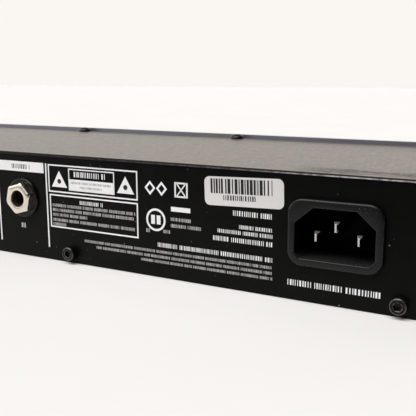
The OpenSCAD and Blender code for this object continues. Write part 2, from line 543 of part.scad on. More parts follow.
base_tray();
rear_panel();
top_cover();
front_panel();
front_bracket();
bracket_flanges();
cover_screws();
rear_panel_screws();
front_panel_screws();
tray_screws();
board_standoffs();
board_screws();
front_board();
main_board();
power_board();
pot_bodies();
selector_bodies();
pot_nuts();
tact_switches();
display_module();
display_window();
level_leds();
power_switch_body();
power_rocker();
knob(small_x[0], knob_r, 18);  // input_knob
knob(small_x[1], knob_r, 18);  // mix_knob
knob(sel_x[0], sel_r, 24);  // effect_selector_knob
knob(small_x[2], knob_r, 18);  // time_knob
knob(small_x[3], knob_r, 18);  // feedback_knob
knob(sel_x[1], sel_r, 24);  // reverb_selector_knob
knob(small_x[4], knob_r, 18);  // decay_knob
shaft(small_x[0]);  // input_shaft
shaft(small_x[1]);  // mix_shaft
shaft(sel_x[0]);  // effect_selector_shaft
shaft(small_x[2]);  // time_shaft
shaft(small_x[3]);  // feedback_shaft
shaft(sel_x[1]);  // reverb_selector_shaft
shaft(small_x[4]);  // decay_shaft
button(btn_pos[0]);  // tap_button
button(btn_pos[1]);  // preset_up_button
button(btn_pos[2]);  // preset_down_button
button(btn_pos[3]);  // store_button
button(btn_pos[4]);  // bypass_button
mains_inlet();
inlet_blades();
jack_bodies();
jack_washers();
jack_nuts();
midi_sockets();
digital_sockets();
usb_socket();
serial_label();
transformer();
power_capacitors();
heat_sink();
mains_fuse();
wiring_leads();
ribbon_cable();
board_chips();
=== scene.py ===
import bpy, bmesh, math, random
from mathutils import Vector, Matrix


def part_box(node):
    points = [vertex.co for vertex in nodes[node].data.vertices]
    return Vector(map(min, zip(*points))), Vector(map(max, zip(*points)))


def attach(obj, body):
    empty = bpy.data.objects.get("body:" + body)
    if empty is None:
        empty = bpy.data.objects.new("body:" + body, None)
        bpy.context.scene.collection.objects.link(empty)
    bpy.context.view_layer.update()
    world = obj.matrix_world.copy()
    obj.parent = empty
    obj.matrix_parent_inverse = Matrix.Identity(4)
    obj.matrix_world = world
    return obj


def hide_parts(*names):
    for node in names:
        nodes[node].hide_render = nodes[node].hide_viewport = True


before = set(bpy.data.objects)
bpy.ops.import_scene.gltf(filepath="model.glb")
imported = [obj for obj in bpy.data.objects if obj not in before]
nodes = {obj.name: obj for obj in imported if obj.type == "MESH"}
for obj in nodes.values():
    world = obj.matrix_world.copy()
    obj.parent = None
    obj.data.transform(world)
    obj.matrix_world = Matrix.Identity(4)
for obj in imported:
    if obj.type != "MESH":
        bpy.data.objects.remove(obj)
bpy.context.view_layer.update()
scene = bpy.context.scene
MM = 0.001

# ------------------------------------------------------------------ reference places, all from the CAD
rear_lo, rear_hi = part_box("rear_panel")
YR = rear_hi.y                      # rear panel's outer face
fp_lo, fp_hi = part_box("front_panel")
YPF, YF = fp_lo.y, fp_hi.y          # front panel's faces
inl_lo, inl_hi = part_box("mains_inlet")
IX = (inl_lo.x + inl_hi.x) / 2
IZ = 0.0231
SC = -0.174                         # X = -(s + 174 mm), s counted from the inlet's centre, to the right seen from behind


def sx(s):
    """X in metres of a place s mm to the right of the inlet's centre, seen from behind."""
    return SC - s * MM


# ------------------------------------------------------------------ camera
cam_data = bpy.data.cameras.new("camera")
cam_data.sensor_width = 36.0
cam_data.lens = 58.19
cam_data.clip_start = 0.005
cam = bpy.data.objects.new("camera", cam_data)
scene.collection.objects.link(cam)
yaw, pitch, roll = -0.50828, 0.19317, -0.00195
cp = math.cos(pitch)
fwd = Vector((-math.sin(yaw) * cp, -math.cos(yaw) * cp, -math.sin(pitch)))
right = Vector((-math.cos(yaw), math.sin(yaw), 0.0))
up = right.cross(fwd)
r2 = right * math.cos(roll) + up * math.sin(roll)
u2 = up * math.cos(roll) - right * math.sin(roll)
m = Matrix(((r2.x, u2.x, -fwd.x), (r2.y, u2.y, -fwd.y), (r2.z, u2.z, -fwd.z))).to_4x4()
m.translation = Vector((-0.23849, YR + 0.19733, 0.0717))
cam.matrix_world = m
scene.camera = cam
scene.view_settings.view_transform = "Standard"
scene.view_settings.look = "None"


# ------------------------------------------------------------------ materials
def new_mat(name):
    mat = bpy.data.materials.new(name)
    mat.use_nodes = True
    nt = mat.node_tree
    nt.nodes.clear()
    out = nt.nodes.new("ShaderNodeOutputMaterial")
    b = nt.nodes.new("ShaderNodeBsdfPrincipled")
    nt.links.new(b.outputs[0], out.inputs[0])
    return mat, nt, b


def coords(nt, scale=(1, 1, 1)):
    tc = nt.nodes.new("ShaderNodeTexCoord")
    mp = nt.nodes.new("ShaderNodeMapping")
    mp.inputs["Scale"].default_value = scale
    nt.links.new(tc.outputs["Object"], mp.inputs[0])
    return mp.outputs[0]


def noise(nt, vec, scale, detail=3.0, rough=0.5, dist=0.0):
    n = nt.nodes.new("ShaderNodeTexNoise")
    n.inputs["Scale"].default_value = scale
    n.inputs["Detail"].default_value = detail
    n.inputs["Roughness"].default_value = rough
    n.inputs["Distortion"].default_value = dist
    nt.links.new(vec, n.inputs["Vector"])
    return n.outputs["Fac"]


def ramp(nt, fac, stops, interp="LINEAR"):
    r = nt.nodes.new("ShaderNodeValToRGB")
    r.color_ramp.interpolation = interp
    els = r.color_ramp.elements
    while len(els) < len(stops):
        els.new(0.5)
    for e, (p, c) in zip(els, stops):
        e.position = p
        e.color = (c[0], c[1], c[2], 1) if hasattr(c, "__len__") else (c, c, c, 1)
    nt.links.new(fac, r.inputs[0])
    return r.outputs[0]


def mix(nt, fac, a, b, mode="MIX"):
    mx = nt.nodes.new("ShaderNodeMix")
    mx.data_type = "RGBA"
    mx.blend_type = mode
    for sock, v in ((mx.inputs[0], fac), (mx.inputs[6], a), (mx.inputs[7], b)):
        if hasattr(v, "links"):
            nt.links.new(v, sock)
        elif hasattr(v, "__len__"):
            sock.default_value = (v[0], v[1], v[2], 1)
        else:
            sock.default_value = v
    return mx.outputs[2]


def mathn(nt, op, a, b=0.0, clamp=False):
    n = nt.nodes.new("ShaderNodeMath")
    n.operation = op
    n.use_clamp = clamp
    for i, v in enumerate((a, b)):
        if hasattr(v, "links"):
            nt.links.new(v, n.inputs[i])
        else:
            n.inputs[i].default_value = v
    return n.outputs[0]


def maprange(nt, v, a, b, c, d):
    n = nt.nodes.new("ShaderNodeMapRange")
    n.inputs[1].default_value = a
    n.inputs[2].default_value = b
    n.inputs[3].default_value = c
    n.inputs[4].default_value = d
    nt.links.new(v, n.inputs[0])
    return n.outputs[0]


def bump(nt, bsdf, height, strength, distance):
    bn = nt.nodes.new("ShaderNodeBump")
    bn.inputs["Strength"].default_value = strength
    bn.inputs["Distance"].default_value = distance
    nt.links.new(height, bn.inputs["Height"])
    nt.links.new(bn.outputs[0], bsdf.inputs["Normal"])


def coat(name, base, light, rough=(0.42, 0.56), spec=0.5, grain=1500.0, bump_s=0.35, bump_d=0.00006,
         specks=0.0, metallic=0.0, mottle=60.0, speck_col=(0.35, 0.35, 0.34), stretch=(1, 1, 1)):
    """A powder coat, moulding or plated finish: mottled colour, fine grain, a few light specks."""
    mat, nt, b = new_mat(name)
    vec = coords(nt, stretch)
    big = noise(nt, vec, mottle, 4.0, 0.6)
    fine = noise(nt, vec, grain, 2.0, 0.6)
    col = ramp(nt, big, [(0.3, base), (0.7, light)])
    col = mix(nt, maprange(nt, fine, 0.3, 0.75, 0.0, 0.35), col, tuple(min(1.0, c * 1.7 + 0.002) for c in light))
    if specks:
        sp = noise(nt, vec, 900.0, 1.0, 0.4)
        sp2 = noise(nt, vec, 190.0, 1.0, 0.4)
        k = mathn(nt, "MULTIPLY", ramp(nt, sp, [(0.735, 0), (0.76, 1)]), ramp(nt, sp2, [(0.5, 0), (0.62, 1)]))
        k = mathn(nt, "MULTIPLY", k, specks)
        col = mix(nt, k, col, speck_col)
    nt.links.new(col, b.inputs["Base Color"])
    rr = maprange(nt, noise(nt, vec, mottle * 4, 3.0, 0.6), 0.3, 0.7, rough[0], rough[1])
    nt.links.new(rr, b.inputs["Roughness"])
    b.inputs["Metallic"].default_value = metallic
    b.inputs["Specular IOR Level"].default_value = spec
    if bump_s:
        bump(nt, b, fine, bump_s, bump_d)
    return mat


def brushed(name, base, rough=(0.24, 0.36), axis=0, metallic=1.0, stripe=900.0):
    """Drawn or turned metal: streaks along one axis."""
    mat, nt, b = new_mat(name)
    st = [stripe / 9.0] * 3
    st[axis] = stripe / 300.0
    vec = coords(nt, tuple(st))
    n = noise(nt, vec, 9.0, 4.0, 0.65)
    v2 = coords(nt)
    n2 = noise(nt, v2, 140.0, 3.0, 0.6)
    col = ramp(nt, n, [(0.25, tuple(c * 0.82 for c in base)), (0.75, base)])
    col = mix(nt, maprange(nt, n2, 0.55, 0.8, 0.0, 0.35), col, tuple(c * 0.6 for c in base))
    nt.links.new(col, b.inputs["Base Color"])
    nt.links.new(maprange(nt, n2, 0.3, 0.7, rough[0], rough[1]), b.inputs["Roughness"])
    b.inputs["Metallic"].default_value = metallic
    bump(nt, b, n, 0.12, 0.00003)
    return mat


M = {}
# rear panel: matt black coat
M["rear"] = coat("rear_coat", (0.0012, 0.0012, 0.0012), (0.0032, 0.0031, 0.003), rough=(0.3, 0.4), spec=0.08,
                 grain=2600.0, bump_s=0.3, bump_d=0.00004, specks=0.5)
M["case"] = coat("case_coat", (0.012, 0.012, 0.0118), (0.02, 0.0195, 0.019), rough=(0.46, 0.58), spec=0.4, grain=2200.0,
                 bump_s=0.4, bump_d=0.00005, specks=0.35)


def cover_material():
    """The cover's coat: fine speckled texture, smudges near its rear edge, base tones lifted above the coat's black as
    painted sheen, a painted highlight line where the top turns down, a rear edge painted dark as painted shade, and a
    bare worn line along its lower edge that is partly painted highlight.
    """
    mat, nt, b = new_mat("cover_coat")
    vec = coords(nt)
    big = noise(nt, vec, 26.0, 5.0, 0.62)
    fine = noise(nt, coords(nt, (1, 0.4, 1)), 1350.0, 2.0, 0.6)
    fleck = noise(nt, coords(nt, (1, 0.3, 1)), 700.0, 1.0, 0.5)
    mid = noise(nt, vec, 620.0, 3.0, 0.6)
    # the base tones lift the black coat to warm grey: painted sheen, the pale backdrop's reflection at a glancing angle
    col = ramp(nt, big, [(0.3, (0.086, 0.067, 0.050)), (0.72, (0.098, 0.078, 0.059))])
    col = mix(nt, maprange(nt, fine, 0.32, 0.68, 0.0, 0.85), col, (0.135, 0.112, 0.086))
    col = mix(nt, maprange(nt, fleck, 0.35, 0.65, 0.0, 0.5), col, (0.018, 0.016, 0.014))
    sep = nt.nodes.new("ShaderNodeSeparateXYZ")
    nt.links.new(vec, sep.inputs[0])
    # smudges in a band near the rear edge
    warp = noise(nt, coords(nt, (1, 2.5, 1)), 38.0, 3.0, 0.55)
    ypos = mathn(nt, "ADD", sep.outputs[1], mathn(nt, "MULTIPLY", mathn(nt, "SUBTRACT", warp, 0.5), 0.02))
    band = mathn(nt, "MULTIPLY", maprange(nt, ypos, YR - 0.012, YR - 0.007, 0.0, 1.0), maprange(nt, ypos, YR - 0.0035, YR - 0.001, 1.0, 0.0))
    xpos = maprange(nt, sep.outputs[0], -0.155, -0.172, 0.0, 1.0)
    smudge = mathn(nt, "MULTIPLY", mathn(nt, "MULTIPLY", band, xpos), maprange(nt, mid, 0.35, 0.6, 0.3, 1.0), True)
    col = mix(nt, mathn(nt, "MULTIPLY", smudge, 0.72), col, (0.028, 0.029, 0.025))
    sp = mathn(nt, "MULTIPLY", ramp(nt, noise(nt, vec, 760.0, 1.0, 0.4), [(0.74, 0), (0.765, 1)]), 0.4)
    col = mix(nt, sp, col, (0.3, 0.29, 0.27))
    # a painted highlight line where the top starts to turn down
    rim = mathn(nt, "MULTIPLY", maprange(nt, sep.outputs[1], YR - 0.0014, YR - 0.0006, 0.0, 1.0), maprange(nt, sep.outputs[2], 0.0421, 0.0423, 0.0, 1.0))
    col = mix(nt, mathn(nt, "MULTIPLY", rim, 0.35), col, (0.3, 0.28, 0.25))
    # rear edge painted dark: painted shade on the face turned away from the light
    past = maprange(nt, sep.outputs[1], YR + 0.00004, YR + 0.0001, 0.0, 1.0)
    edge = mathn(nt, "MULTIPLY", past, maprange(nt, sep.outputs[2], 0.04238, 0.04228, 0.0, 1.0))
    col = mix(nt, edge, col, (0.008, 0.006, 0.0095))
    # bare worn line along its lower edge, brighter towards the inlet: partly wear, partly painted highlight
    lower_line_z = mathn(nt, "MULTIPLY", maprange(nt, sep.outputs[2], 0.0419, 0.04178, 0.0, 1.0), maprange(nt, sep.outputs[2], 0.0414, 0.04146, 0.0, 1.0))
    xw = mathn(nt, "ADD", sep.outputs[0], mathn(nt, "MULTIPLY", mathn(nt, "SUBTRACT", big, 0.5), 0.05))
    lower_line_x = ramp(nt, maprange(nt, xw, -0.03, -0.175, 0.0, 1.0), [(0.0, 0.02), (0.35, 0.05), (0.6, 0.12), (0.8, 0.25), (1.0, 0.8)])
    wear_and_highlight = mathn(nt, "MULTIPLY", mathn(nt, "MULTIPLY", mathn(nt, "MULTIPLY", lower_line_z, past), lower_line_x), maprange(nt, mid, 0.36, 0.58, 0.3, 1.0), True)
    col = mix(nt, wear_and_highlight, col, (0.62, 0.6, 0.63))
    nt.links.new(col, b.inputs["Base Color"])
    rr = maprange(nt, fine, 0.3, 0.7, 0.44, 0.37)
    rr2 = mathn(nt, "ADD", rr, mathn(nt, "MULTIPLY", smudge, 0.16))
    nt.links.new(rr2, b.inputs["Roughness"])
    spl = mathn(nt, "SUBTRACT", maprange(nt, edge, 0.0, 1.0, 0.8, 0.12), mathn(nt, "MULTIPLY", smudge, 0.45))
    nt.links.new(spl, b.inputs["Specular IOR Level"])
    b.inputs["Specular Tint"].default_value = (1.0, 0.88, 0.76, 1.0)
    h = mathn(nt, "ADD", fine, mathn(nt, "MULTIPLY", mid, 0.5))
    bump(nt, b, h, 0.3, 0.00005)
    return mat


M["cover"] = cover_material()
M["front"] = coat("front_finish", (0.19, 0.195, 0.245), (0.215, 0.22, 0.275), rough=(0.34, 0.42), spec=0.5, metallic=0.75,
                  grain=2400.0, bump_s=0.15, bump_d=0.00003, mottle=18.0)
M["steel"] = brushed("bare_steel", (0.62, 0.62, 0.64), (0.28, 0.42))
M["black_screw"] = coat("black_oxide", (0.004, 0.004, 0.0045), (0.010, 0.0095, 0.0095), rough=(0.26, 0.36), spec=0.3, grain=4000.0,
                        bump_s=0.15, bump_d=0.00002, mottle=500.0)
M["rear_screw"] = coat("rear_screw_oxide", (0.002, 0.002, 0.0022), (0.005, 0.0048, 0.0048), rough=(0.16, 0.24), spec=0.16, grain=4000.0,
                       bump_s=0.1, bump_d=0.00002, mottle=500.0)
M["board"] = coat("solder_mask", (0.004, 0.05, 0.018), (0.006, 0.07, 0.026), rough=(0.25, 0.4), spec=0.5, grain=900.0, mottle=240.0)
M["component"] = coat("component_moulding", (0.012, 0.012, 0.013), (0.02, 0.02, 0.021), rough=(0.38, 0.5), spec=0.45)
M["can"] = brushed("sleeved_can", (0.2, 0.22, 0.3), (0.3, 0.4), axis=2, metallic=0.4)
M["winding"] = coat("winding_tape", (0.55, 0.42, 0.08), (0.65, 0.5, 0.12), rough=(0.3, 0.45), spec=0.5)
M["knob"] = coat("knob_moulding", (0.012, 0.012, 0.0125), (0.019, 0.019, 0.02), rough=(0.36, 0.46), spec=0.45, grain=3200.0,
                 bump_s=0.18, bump_d=0.00003)
M["key"] = coat("key_moulding", (0.5, 0.51, 0.53), (0.56, 0.57, 0.59), rough=(0.36, 0.46), spec=0.5, grain=3200.0,
                bump_s=0.1, bump_d=0.00003)
M["inlet"] = coat("inlet_moulding", (0.005, 0.005, 0.0053), (0.008, 0.008, 0.0085), rough=(0.2, 0.28), spec=0.28, grain=3000.0,
                  bump_s=0.25, bump_d=0.00004, specks=0.3)


def cavity_material():
    """Near black as painted shade in the recess, with a lighter speckled floor just inside the mouth: partly dust,
    partly painted light where light reaches in.
    """
    mat, nt, b = new_mat("inlet_cavity")
    vec = coords(nt)
    sep = nt.nodes.new("ShaderNodeSeparateXYZ")
    nt.links.new(vec, sep.inputs[0])
    n = noise(nt, vec, 420.0, 4.0, 0.6)
    dust_and_light = noise(nt, coords(nt, (1, 0.35, 1)), 1500.0, 2.0, 0.6)
    low = maprange(nt, sep.outputs[2], IZ - 7.0 * MM, IZ - 8.2 * MM, 0.0, 1.0)
    near = maprange(nt, sep.outputs[1], YR - 10.5 * MM, YR + 0.5 * MM, 0.0, 1.0)
    k = mathn(nt, "MULTIPLY", mathn(nt, "MULTIPLY", low, near), maprange(nt, dust_and_light, 0.35, 0.65, 0.25, 1.0), True)
    col = ramp(nt, n, [(0.3, (0.0012, 0.0012, 0.0012)), (0.7, (0.003, 0.0029, 0.0028))])
    col = mix(nt, k, col, (0.03, 0.029, 0.029))
    nt.links.new(col, b.inputs["Base Color"])
    nt.links.new(maprange(nt, n, 0.3, 0.7, 0.4, 0.55), b.inputs["Roughness"])
    b.inputs["Specular IOR Level"].default_value = 0.06
    bump(nt, b, dust_and_light, 0.4, 0.00006)
    return mat


M["inlet_inner"] = cavity_material()
M["nickel"] = brushed("nickel_plate", (0.86, 0.79, 0.70), (0.12, 0.2), axis=0, stripe=2400.0)
M["blade"] = brushed("plated_blade", (0.5, 0.48, 0.44), (0.1, 0.16), axis=1, stripe=2400.0)
# lighter finish for the blade tips: painted light on the faces turned out and up
M["blade_tip"] = brushed("blade_tip_painted_light", (0.86, 0.82, 0.75), (0.36, 0.46), axis=1, stripe=2400.0, metallic=0.85)
# dark brown for the insides of the jack bores: the darkness is painted shade
M["mouth"] = coat("mouth_shade_brown", (0.045, 0.024, 0.015), (0.085, 0.05, 0.032), rough=(0.3, 0.42), spec=0.4, metallic=0.5)
# lighter metallic finish for the rear screws' outer rim and socket edge: painted highlights
M["screw_edge"] = coat("screw_rim_painted_highlight", (0.035, 0.034, 0.034), (0.07, 0.068, 0.067), rough=(0.2, 0.3), spec=0.6, metallic=0.6,
                       bump_s=0.1, bump_d=0.00002, mottle=700.0)
M["washer"] = coat("washer_moulding", (0.002, 0.002, 0.002), (0.004, 0.004, 0.004), rough=(0.07, 0.13), spec=0.24, grain=1800.0,
                   bump_s=0.06, bump_d=0.00003)
M["gold"] = brushed("gold_contact", (0.88, 0.62, 0.26), (0.18, 0.28), axis=1, stripe=2400.0)
M["paper"] = coat("label_paper", (0.64, 0.63, 0.62), (0.68, 0.67, 0.66), rough=(0.55, 0.7), spec=0.3, grain=4000.0, bump_s=0.08,
                  bump_d=0.00002)
M["lead"] = coat("lead_pvc", (0.16, 0.08, 0.04), (0.2, 0.1, 0.05), rough=(0.3, 0.4), spec=0.5)
M["ribbon"] = brushed("ribbon_pvc", (0.5, 0.5, 0.52), (0.35, 0.45), axis=2, metallic=0.0, stripe=3600.0)
M["white_ink"] = coat("white_ink", (0.8, 0.805, 0.83), (0.87, 0.875, 0.9), rough=(0.5, 0.62), spec=0.3, grain=3800.0,
                      bump_s=0.12, bump_d=0.00002)
M["grey_ink"] = coat("light_ink", (0.42, 0.41, 0.42), (0.52, 0.51, 0.52), rough=(0.5, 0.62), spec=0.3, grain=3800.0,
                     bump_s=0.12, bump_d=0.00002)
M["dark_ink"] = coat("dark_ink", (0.006, 0.0055, 0.006), (0.012, 0.011, 0.0115), rough=(0.45, 0.55), spec=0.35, grain=3800.0,
                     bump_s=0.1, bump_d=0.00002)
M["mid_ink"] = coat("faded_ink", (0.2, 0.19, 0.19), (0.27, 0.26, 0.26), rough=(0.45, 0.55), spec=0.35, grain=3800.0,
                    bump_s=0.1, bump_d=0.00002)
M["phenolic"] = coat("contact_bronze", (0.07, 0.028, 0.012), (0.11, 0.045, 0.02), rough=(0.35, 0.5), spec=0.4, metallic=0.6)


def window_material():
    mat, nt, b = new_mat("window_filter")
    vec = coords(nt)
    n = noise(nt, vec, 120.0, 2.0, 0.5)
    nt.links.new(ramp(nt, n, [(0.3, (0.05, 0.003, 0.004)), (0.7, (0.07, 0.005, 0.006))]), b.inputs["Base Color"])
    nt.links.new(maprange(nt, n, 0.3, 0.7, 0.06, 0.11), b.inputs["Roughness"])
    b.inputs["Alpha"].default_value = 0.45
    b.inputs["Specular IOR Level"].default_value = 0.5
    return mat


def led_material():
    """Lens colour by height: green low down, amber, then red at the top."""
    mat, nt, b = new_mat("led_lens")
    vec = coords(nt)
    sep = nt.nodes.new("ShaderNodeSeparateXYZ")
    nt.links.new(vec, sep.inputs[0])
    h = maprange(nt, sep.outputs[2], 0.008, 0.036, 0.0, 1.0)
    col = ramp(nt, h, [(0.0, (0.05, 0.42, 0.08)), (0.5, (0.7, 0.4, 0.03)), (0.78, (0.7, 0.04, 0.03))], "CONSTANT")
    n = noise(nt, vec, 700.0, 2.0, 0.5)
    col = mix(nt, maprange(nt, n, 0.3, 0.7, 0.0, 0.25), col, (0.8, 0.8, 0.75))
    nt.links.new(col, b.inputs["Base Color"])
    nt.links.new(maprange(nt, n, 0.3, 0.7, 0.2, 0.3), b.inputs["Roughness"])
    b.inputs["Subsurface Weight"].default_value = 0.2
    b.inputs["Subsurface Radius"].default_value = (0.001, 0.001, 0.001)
    return mat


def glow_material(name, col, strength):
    mat, nt, b = new_mat(name)
    vec = coords(nt)
    n = noise(nt, vec, 500.0, 2.0, 0.5)
    c = ramp(nt, n, [(0.3, tuple(x * 0.9 for x in col)), (0.7, col)])
    nt.links.new(c, b.inputs["Base Color"])
    nt.links.new(c, b.inputs["Emission Color"])
    b.inputs["Emission Strength"].default_value = strength
    b.inputs["Roughness"].default_value = 0.4
    return mat


M["window"] = window_material()
M["led"] = led_material()
M["glow"] = glow_material("lit_segment", (0.95, 0.12, 0.05), 2.5)

cad_mat = {
    "base_tray": "case", "rear_panel": "rear", "top_cover": "cover",
    "front_panel": "front", "front_bracket": "steel", "bracket_flanges": "steel",
    "cover_screws": "black_screw", "rear_panel_screws": "black_screw", "front_panel_screws": "black_screw", "tray_screws": "black_screw",
    "board_standoffs": "steel", "board_screws": "steel", "front_board": "board", "main_board": "board", "power_board": "board",
    "pot_bodies": "component", "selector_bodies": "component", "pot_nuts": "steel", "tact_switches": "component",
    "display_module": "component", "display_window": "window", "level_leds": "led", "power_switch_body": "inlet", "power_rocker": "inlet",
    "mains_inlet": "inlet", "inlet_blades": "blade", "jack_bodies": "component", "jack_washers": "washer", "jack_nuts": "nickel",
    "midi_sockets": "component", "digital_sockets": "gold", "usb_socket": "steel", "serial_label": "paper", "transformer": "winding",
    "power_capacitors": "can", "heat_sink": "can", "mains_fuse": "nickel", "wiring_leads": "lead", "mains_leads": "lead", "supply_lead": "lead",
    "ribbon_cable": "ribbon", "board_chips": "component",
}
for n, o in nodes.items():
    key = cad_mat.get(n) or ("knob" if n.endswith("_knob") else "steel" if n.endswith("_shaft") else "key")
    o.data.materials.clear()
    o.data.materials.append(M[key])


# ------------------------------------------------------------------ mesh helpers
def add_mesh(name, verts, faces, mat, body="case", smooth=0):
    """smooth is the angle in degrees under which an edge shades as one surface."""
    me = bpy.data.meshes.new(name)
    me.from_pydata([tuple(v) for v in verts], [], faces)
    me.validate()
    bm = bmesh.new()
    bm.from_mesh(me)
    bmesh.ops.recalc_face_normals(bm, faces=bm.faces)
    if smooth:
        for f in bm.faces:
            f.smooth = True
        for e in bm.edges:
            e.smooth = len(e.link_faces) == 2 and e.calc_face_angle(3.2) < math.radians(smooth)
    bm.to_mesh(me)
    bm.free()
    me.materials.append(M[mat])
    ob = bpy.data.objects.new(name, me)
    scene.collection.objects.link(ob)
    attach(ob, body)
    return ob


class Build:
    """Collects closed solids into one mesh."""

    def __init__(self):
        self.v, self.f = [], []

    def prism(self, pts2, to3, d0, d1):
        """Closed prism over a simple polygon pts2, placed by to3(u, v, depth)."""
        n = len(pts2)
        b = len(self.v)
        self.v += [to3(u, v, d0) for u, v in pts2] + [to3(u, v, d1) for u, v in pts2]
        self.f.append([b + i for i in range(n)][::-1])
        self.f.append([b + n + i for i in range(n)])
        for i in range(n):
            j = (i + 1) % n
            self.f.append([b + i, b + j, b + n + j, b + n + i])

    def ring(self, outer, inner, to3, d0, d1):
        """Closed prism between two outlines with the same number of points."""
        n = len(outer)
        b = len(self.v)
        for pts, d in ((outer, d0), (inner, d0), (outer, d1), (inner, d1)):
            self.v += [to3(u, v, d) for u, v in pts]
        for i in range(n):
            j = (i + 1) % n
            self.f += [[b + i, b + j, b + n + j, b + n + i], [b + 2 * n + i, b + 2 * n + j, b + 3 * n + j, b + 3 * n + i],
                       [b + i, b + j, b + 2 * n + j, b + 2 * n + i], [b + n + i, b + n + j, b + 3 * n + j, b + 3 * n + i]]

    def rect(self, u0, u1, v0, v1, to3, d0, d1):
        self.prism([(u0, v0), (u1, v0), (u1, v1), (u0, v1)], to3, d0, d1)

    def loft(self, loops):
        """Closed solid through loops of 3-D points, each with the same count, capped at both ends."""
        n = len(loops[0])
        b = len(self.v)
        for lp in loops:
            self.v += [tuple(p) for p in lp]
        m = len(loops)
        self.f.append([b + i for i in range(n)][::-1])
        self.f.append([b + (m - 1) * n + i for i in range(n)])
        for k in range(m - 1):
            for i in range(n):
                j = (i + 1) % n
                self.f.append([b + k * n + i, b + k * n + j, b + (k + 1) * n + j, b + (k + 1) * n + i])

    def torus(self, loops):
        """Closed solid through a closed ring of loops, such as a washer or a nut."""
        n = len(loops[0])
        b = len(self.v)
        for lp in loops:
            self.v += [tuple(p) for p in lp]
        m = len(loops)
        for k in range(m):
            k2 = (k + 1) % m
            for i in range(n):
                j = (i + 1) % n
                self.f.append([b + k * n + i, b + k * n + j, b + k2 * n + j, b + k2 * n + i])

    def make(self, name, mat, body="case", smooth=0):
        return add_mesh(name, self.v, self.f, mat, body, smooth)


def rear3(u, v, d):
    """u = s in mm seen from behind, v = height in mm, d = mm out from the rear panel."""
    return (sx(u), YR + d * MM, v * MM)


def front3(u, v, d):
    """u = X in mm, v = height in mm, d = mm out from the front panel."""
    return (u * MM, YPF - d * MM, v * MM)


INK = (-0.03, 0.035)


def greek(bld, u0, u1, v0, v1, seed, to3, d=INK, word=(2, 9), fill=1.0):
    """Placeholder print: each word is a run of plain upright strokes, no lettering."""
    rnd = random.Random(seed)
    h = v1 - v0
    u = u0
    left = rnd.randint(*word)
    while u < u1 - 0.2 * h:
        w = h * rnd.choice((0.13, 0.16, 0.21, 0.3)) * fill
        w = min(w, u1 - u)
        bld.rect(u, u + w, v0, v1, to3, *d)
        u += w + h * rnd.choice((0.19, 0.24, 0.3))
        left -= 0.5
        if left <= 0:
            u += 0.4 * h
            left = rnd.randint(*word)


def frame_rect(bld, u0, u1, v0, v1, w, to3, d=INK):
    bld.ring([(u0, v0), (u1, v0), (u1, v1), (u0, v1)], [(u0 + w, v0 + w), (u1 - w, v0 + w), (u1 - w, v1 - w), (u0 + w, v1 - w)], to3, *d)


def circle_pts(cu, cv, r, n=48, a0=0.0):
    return [(cu + r * math.cos(a0 + 2 * math.pi * i / n), cv + r * math.sin(a0 + 2 * math.pi * i / n)) for i in range(n)]


# ------------------------------------------------------------------ rear panel print
white, grey, dark = Build(), Build(), Build()
INK2 = (0.0, 0.05)      # dark print on top of white print

# header strip, separators
white.rect(-143.9, -119.3, 34.5, 38.55, rear3, *INK)
greek(dark, -136.2, -126.4, 35.55, 37.4, 3, rear3, INK2, (5, 5))
for s in (-118.1, -144.1):
    white.rect(s - 0.32, s + 0.32, 4.9, 38.5 if s > -130 else 34.2, rear3, *INK)
greek(white, -132.4, -129.6, 11.5, 13.4, 5, rear3, INK, (9, 9))
# two boxes
frame_rect(white, -117.0, -74.6, 27.45, 38.35, 0.55, rear3)
frame_rect(white, -116.7, -74.6, 13.4, 26.6, 0.55, rear3)
# plain triangles with a plain dot
for cu in (-111.45, -80.0):
    o = [(cu - 3.85, 29.6), (cu + 3.85, 29.6), (cu, 36.0)]
    white.prism(o, rear3, *INK)
    dark.prism(circle_pts(cu, 31.9, 0.95, 20), rear3, *INK2)
# central block: outlined, dark upper half with a legend, light lower half
frame_rect(white, -106.8, -85.0, 28.7, 37.2, 0.45, rear3)
white.rect(-106.4, -85.4, 29.1, 33.1, rear3, *INK)
greek(white, -104.1, -88.6, 34.05, 36.1, 11, rear3, INK, (7, 7))
dim = Build()
greek(dim, -105.6, -86.2, 31.35, 32.25, 12, rear3, INK2, (3, 8))
greek(dim, -101.4, -90.6, 29.75, 30.6, 13, rear3, INK2, (3, 5))
# lower box: heading and five lines
greek(white, -101.7, -90.5, 23.55, 25.0, 21, rear3, INK, (7, 7))
for k, (a, b, v) in enumerate(((-115.3, -76.0, 21.75), (-115.3, -76.0, 19.9), (-115.3, -98.2, 18.0), (-115.3, -76.0, 15.95), (-115.3, -108.4, 14.2))):
    greek(grey, a, b, v, v + 1.15, 30 + k, rear3, INK, (3, 8))
# generic marks: two plain lozenges, a plain crossed square, a bar, a plain ring
for cu in (-69.2, -64.3):
    white.ring([(cu - 2.3, 32.7), (cu, 30.1), (cu + 2.3, 32.7), (cu, 35.3)], [(cu - 1.35, 32.7), (cu, 31.2), (cu + 1.35, 32.7), (cu, 34.2)], rear3, *INK)
# a plain crossed square
frame_rect(white, -58.9, -53.5, 30.1, 35.5, 0.6, rear3)
for q in (((-58.5, 30.3), (-57.9, 30.3), (-53.9, 35.3), (-54.5, 35.3)), ((-58.5, 35.3), (-54.5, 30.3), (-53.9, 30.3), (-57.9, 35.3))):
    white.prism(list(q), rear3, *INK)
white.rect(-60.4, -52.5, 24.95, 26.6, rear3, *INK)
white.ring(circle_pts(-66.9, 21.2, 4.15), circle_pts(-66.9, 21.2, 3.35), rear3, *INK)
white.rect(-68.9, -67.3, 19.6, 22.9, rear3, *INK)
white.rect(-66.5, -64.9, 19.6, 22.9, rear3, *INK)
greek(grey, -71.1, -69.5, 16.3, 17.7, 41, rear3, INK, (9, 9))
greek(grey, -63.8, -60.7, 16.7, 17.9, 42, rear3, INK, (9, 9))
greek(grey, -60.5, -52.4, 21.5, 22.7, 43, rear3, INK, (9, 9))
greek(grey, -60.5, -47.9, 19.15, 20.35, 44, rear3, INK, (6, 6))
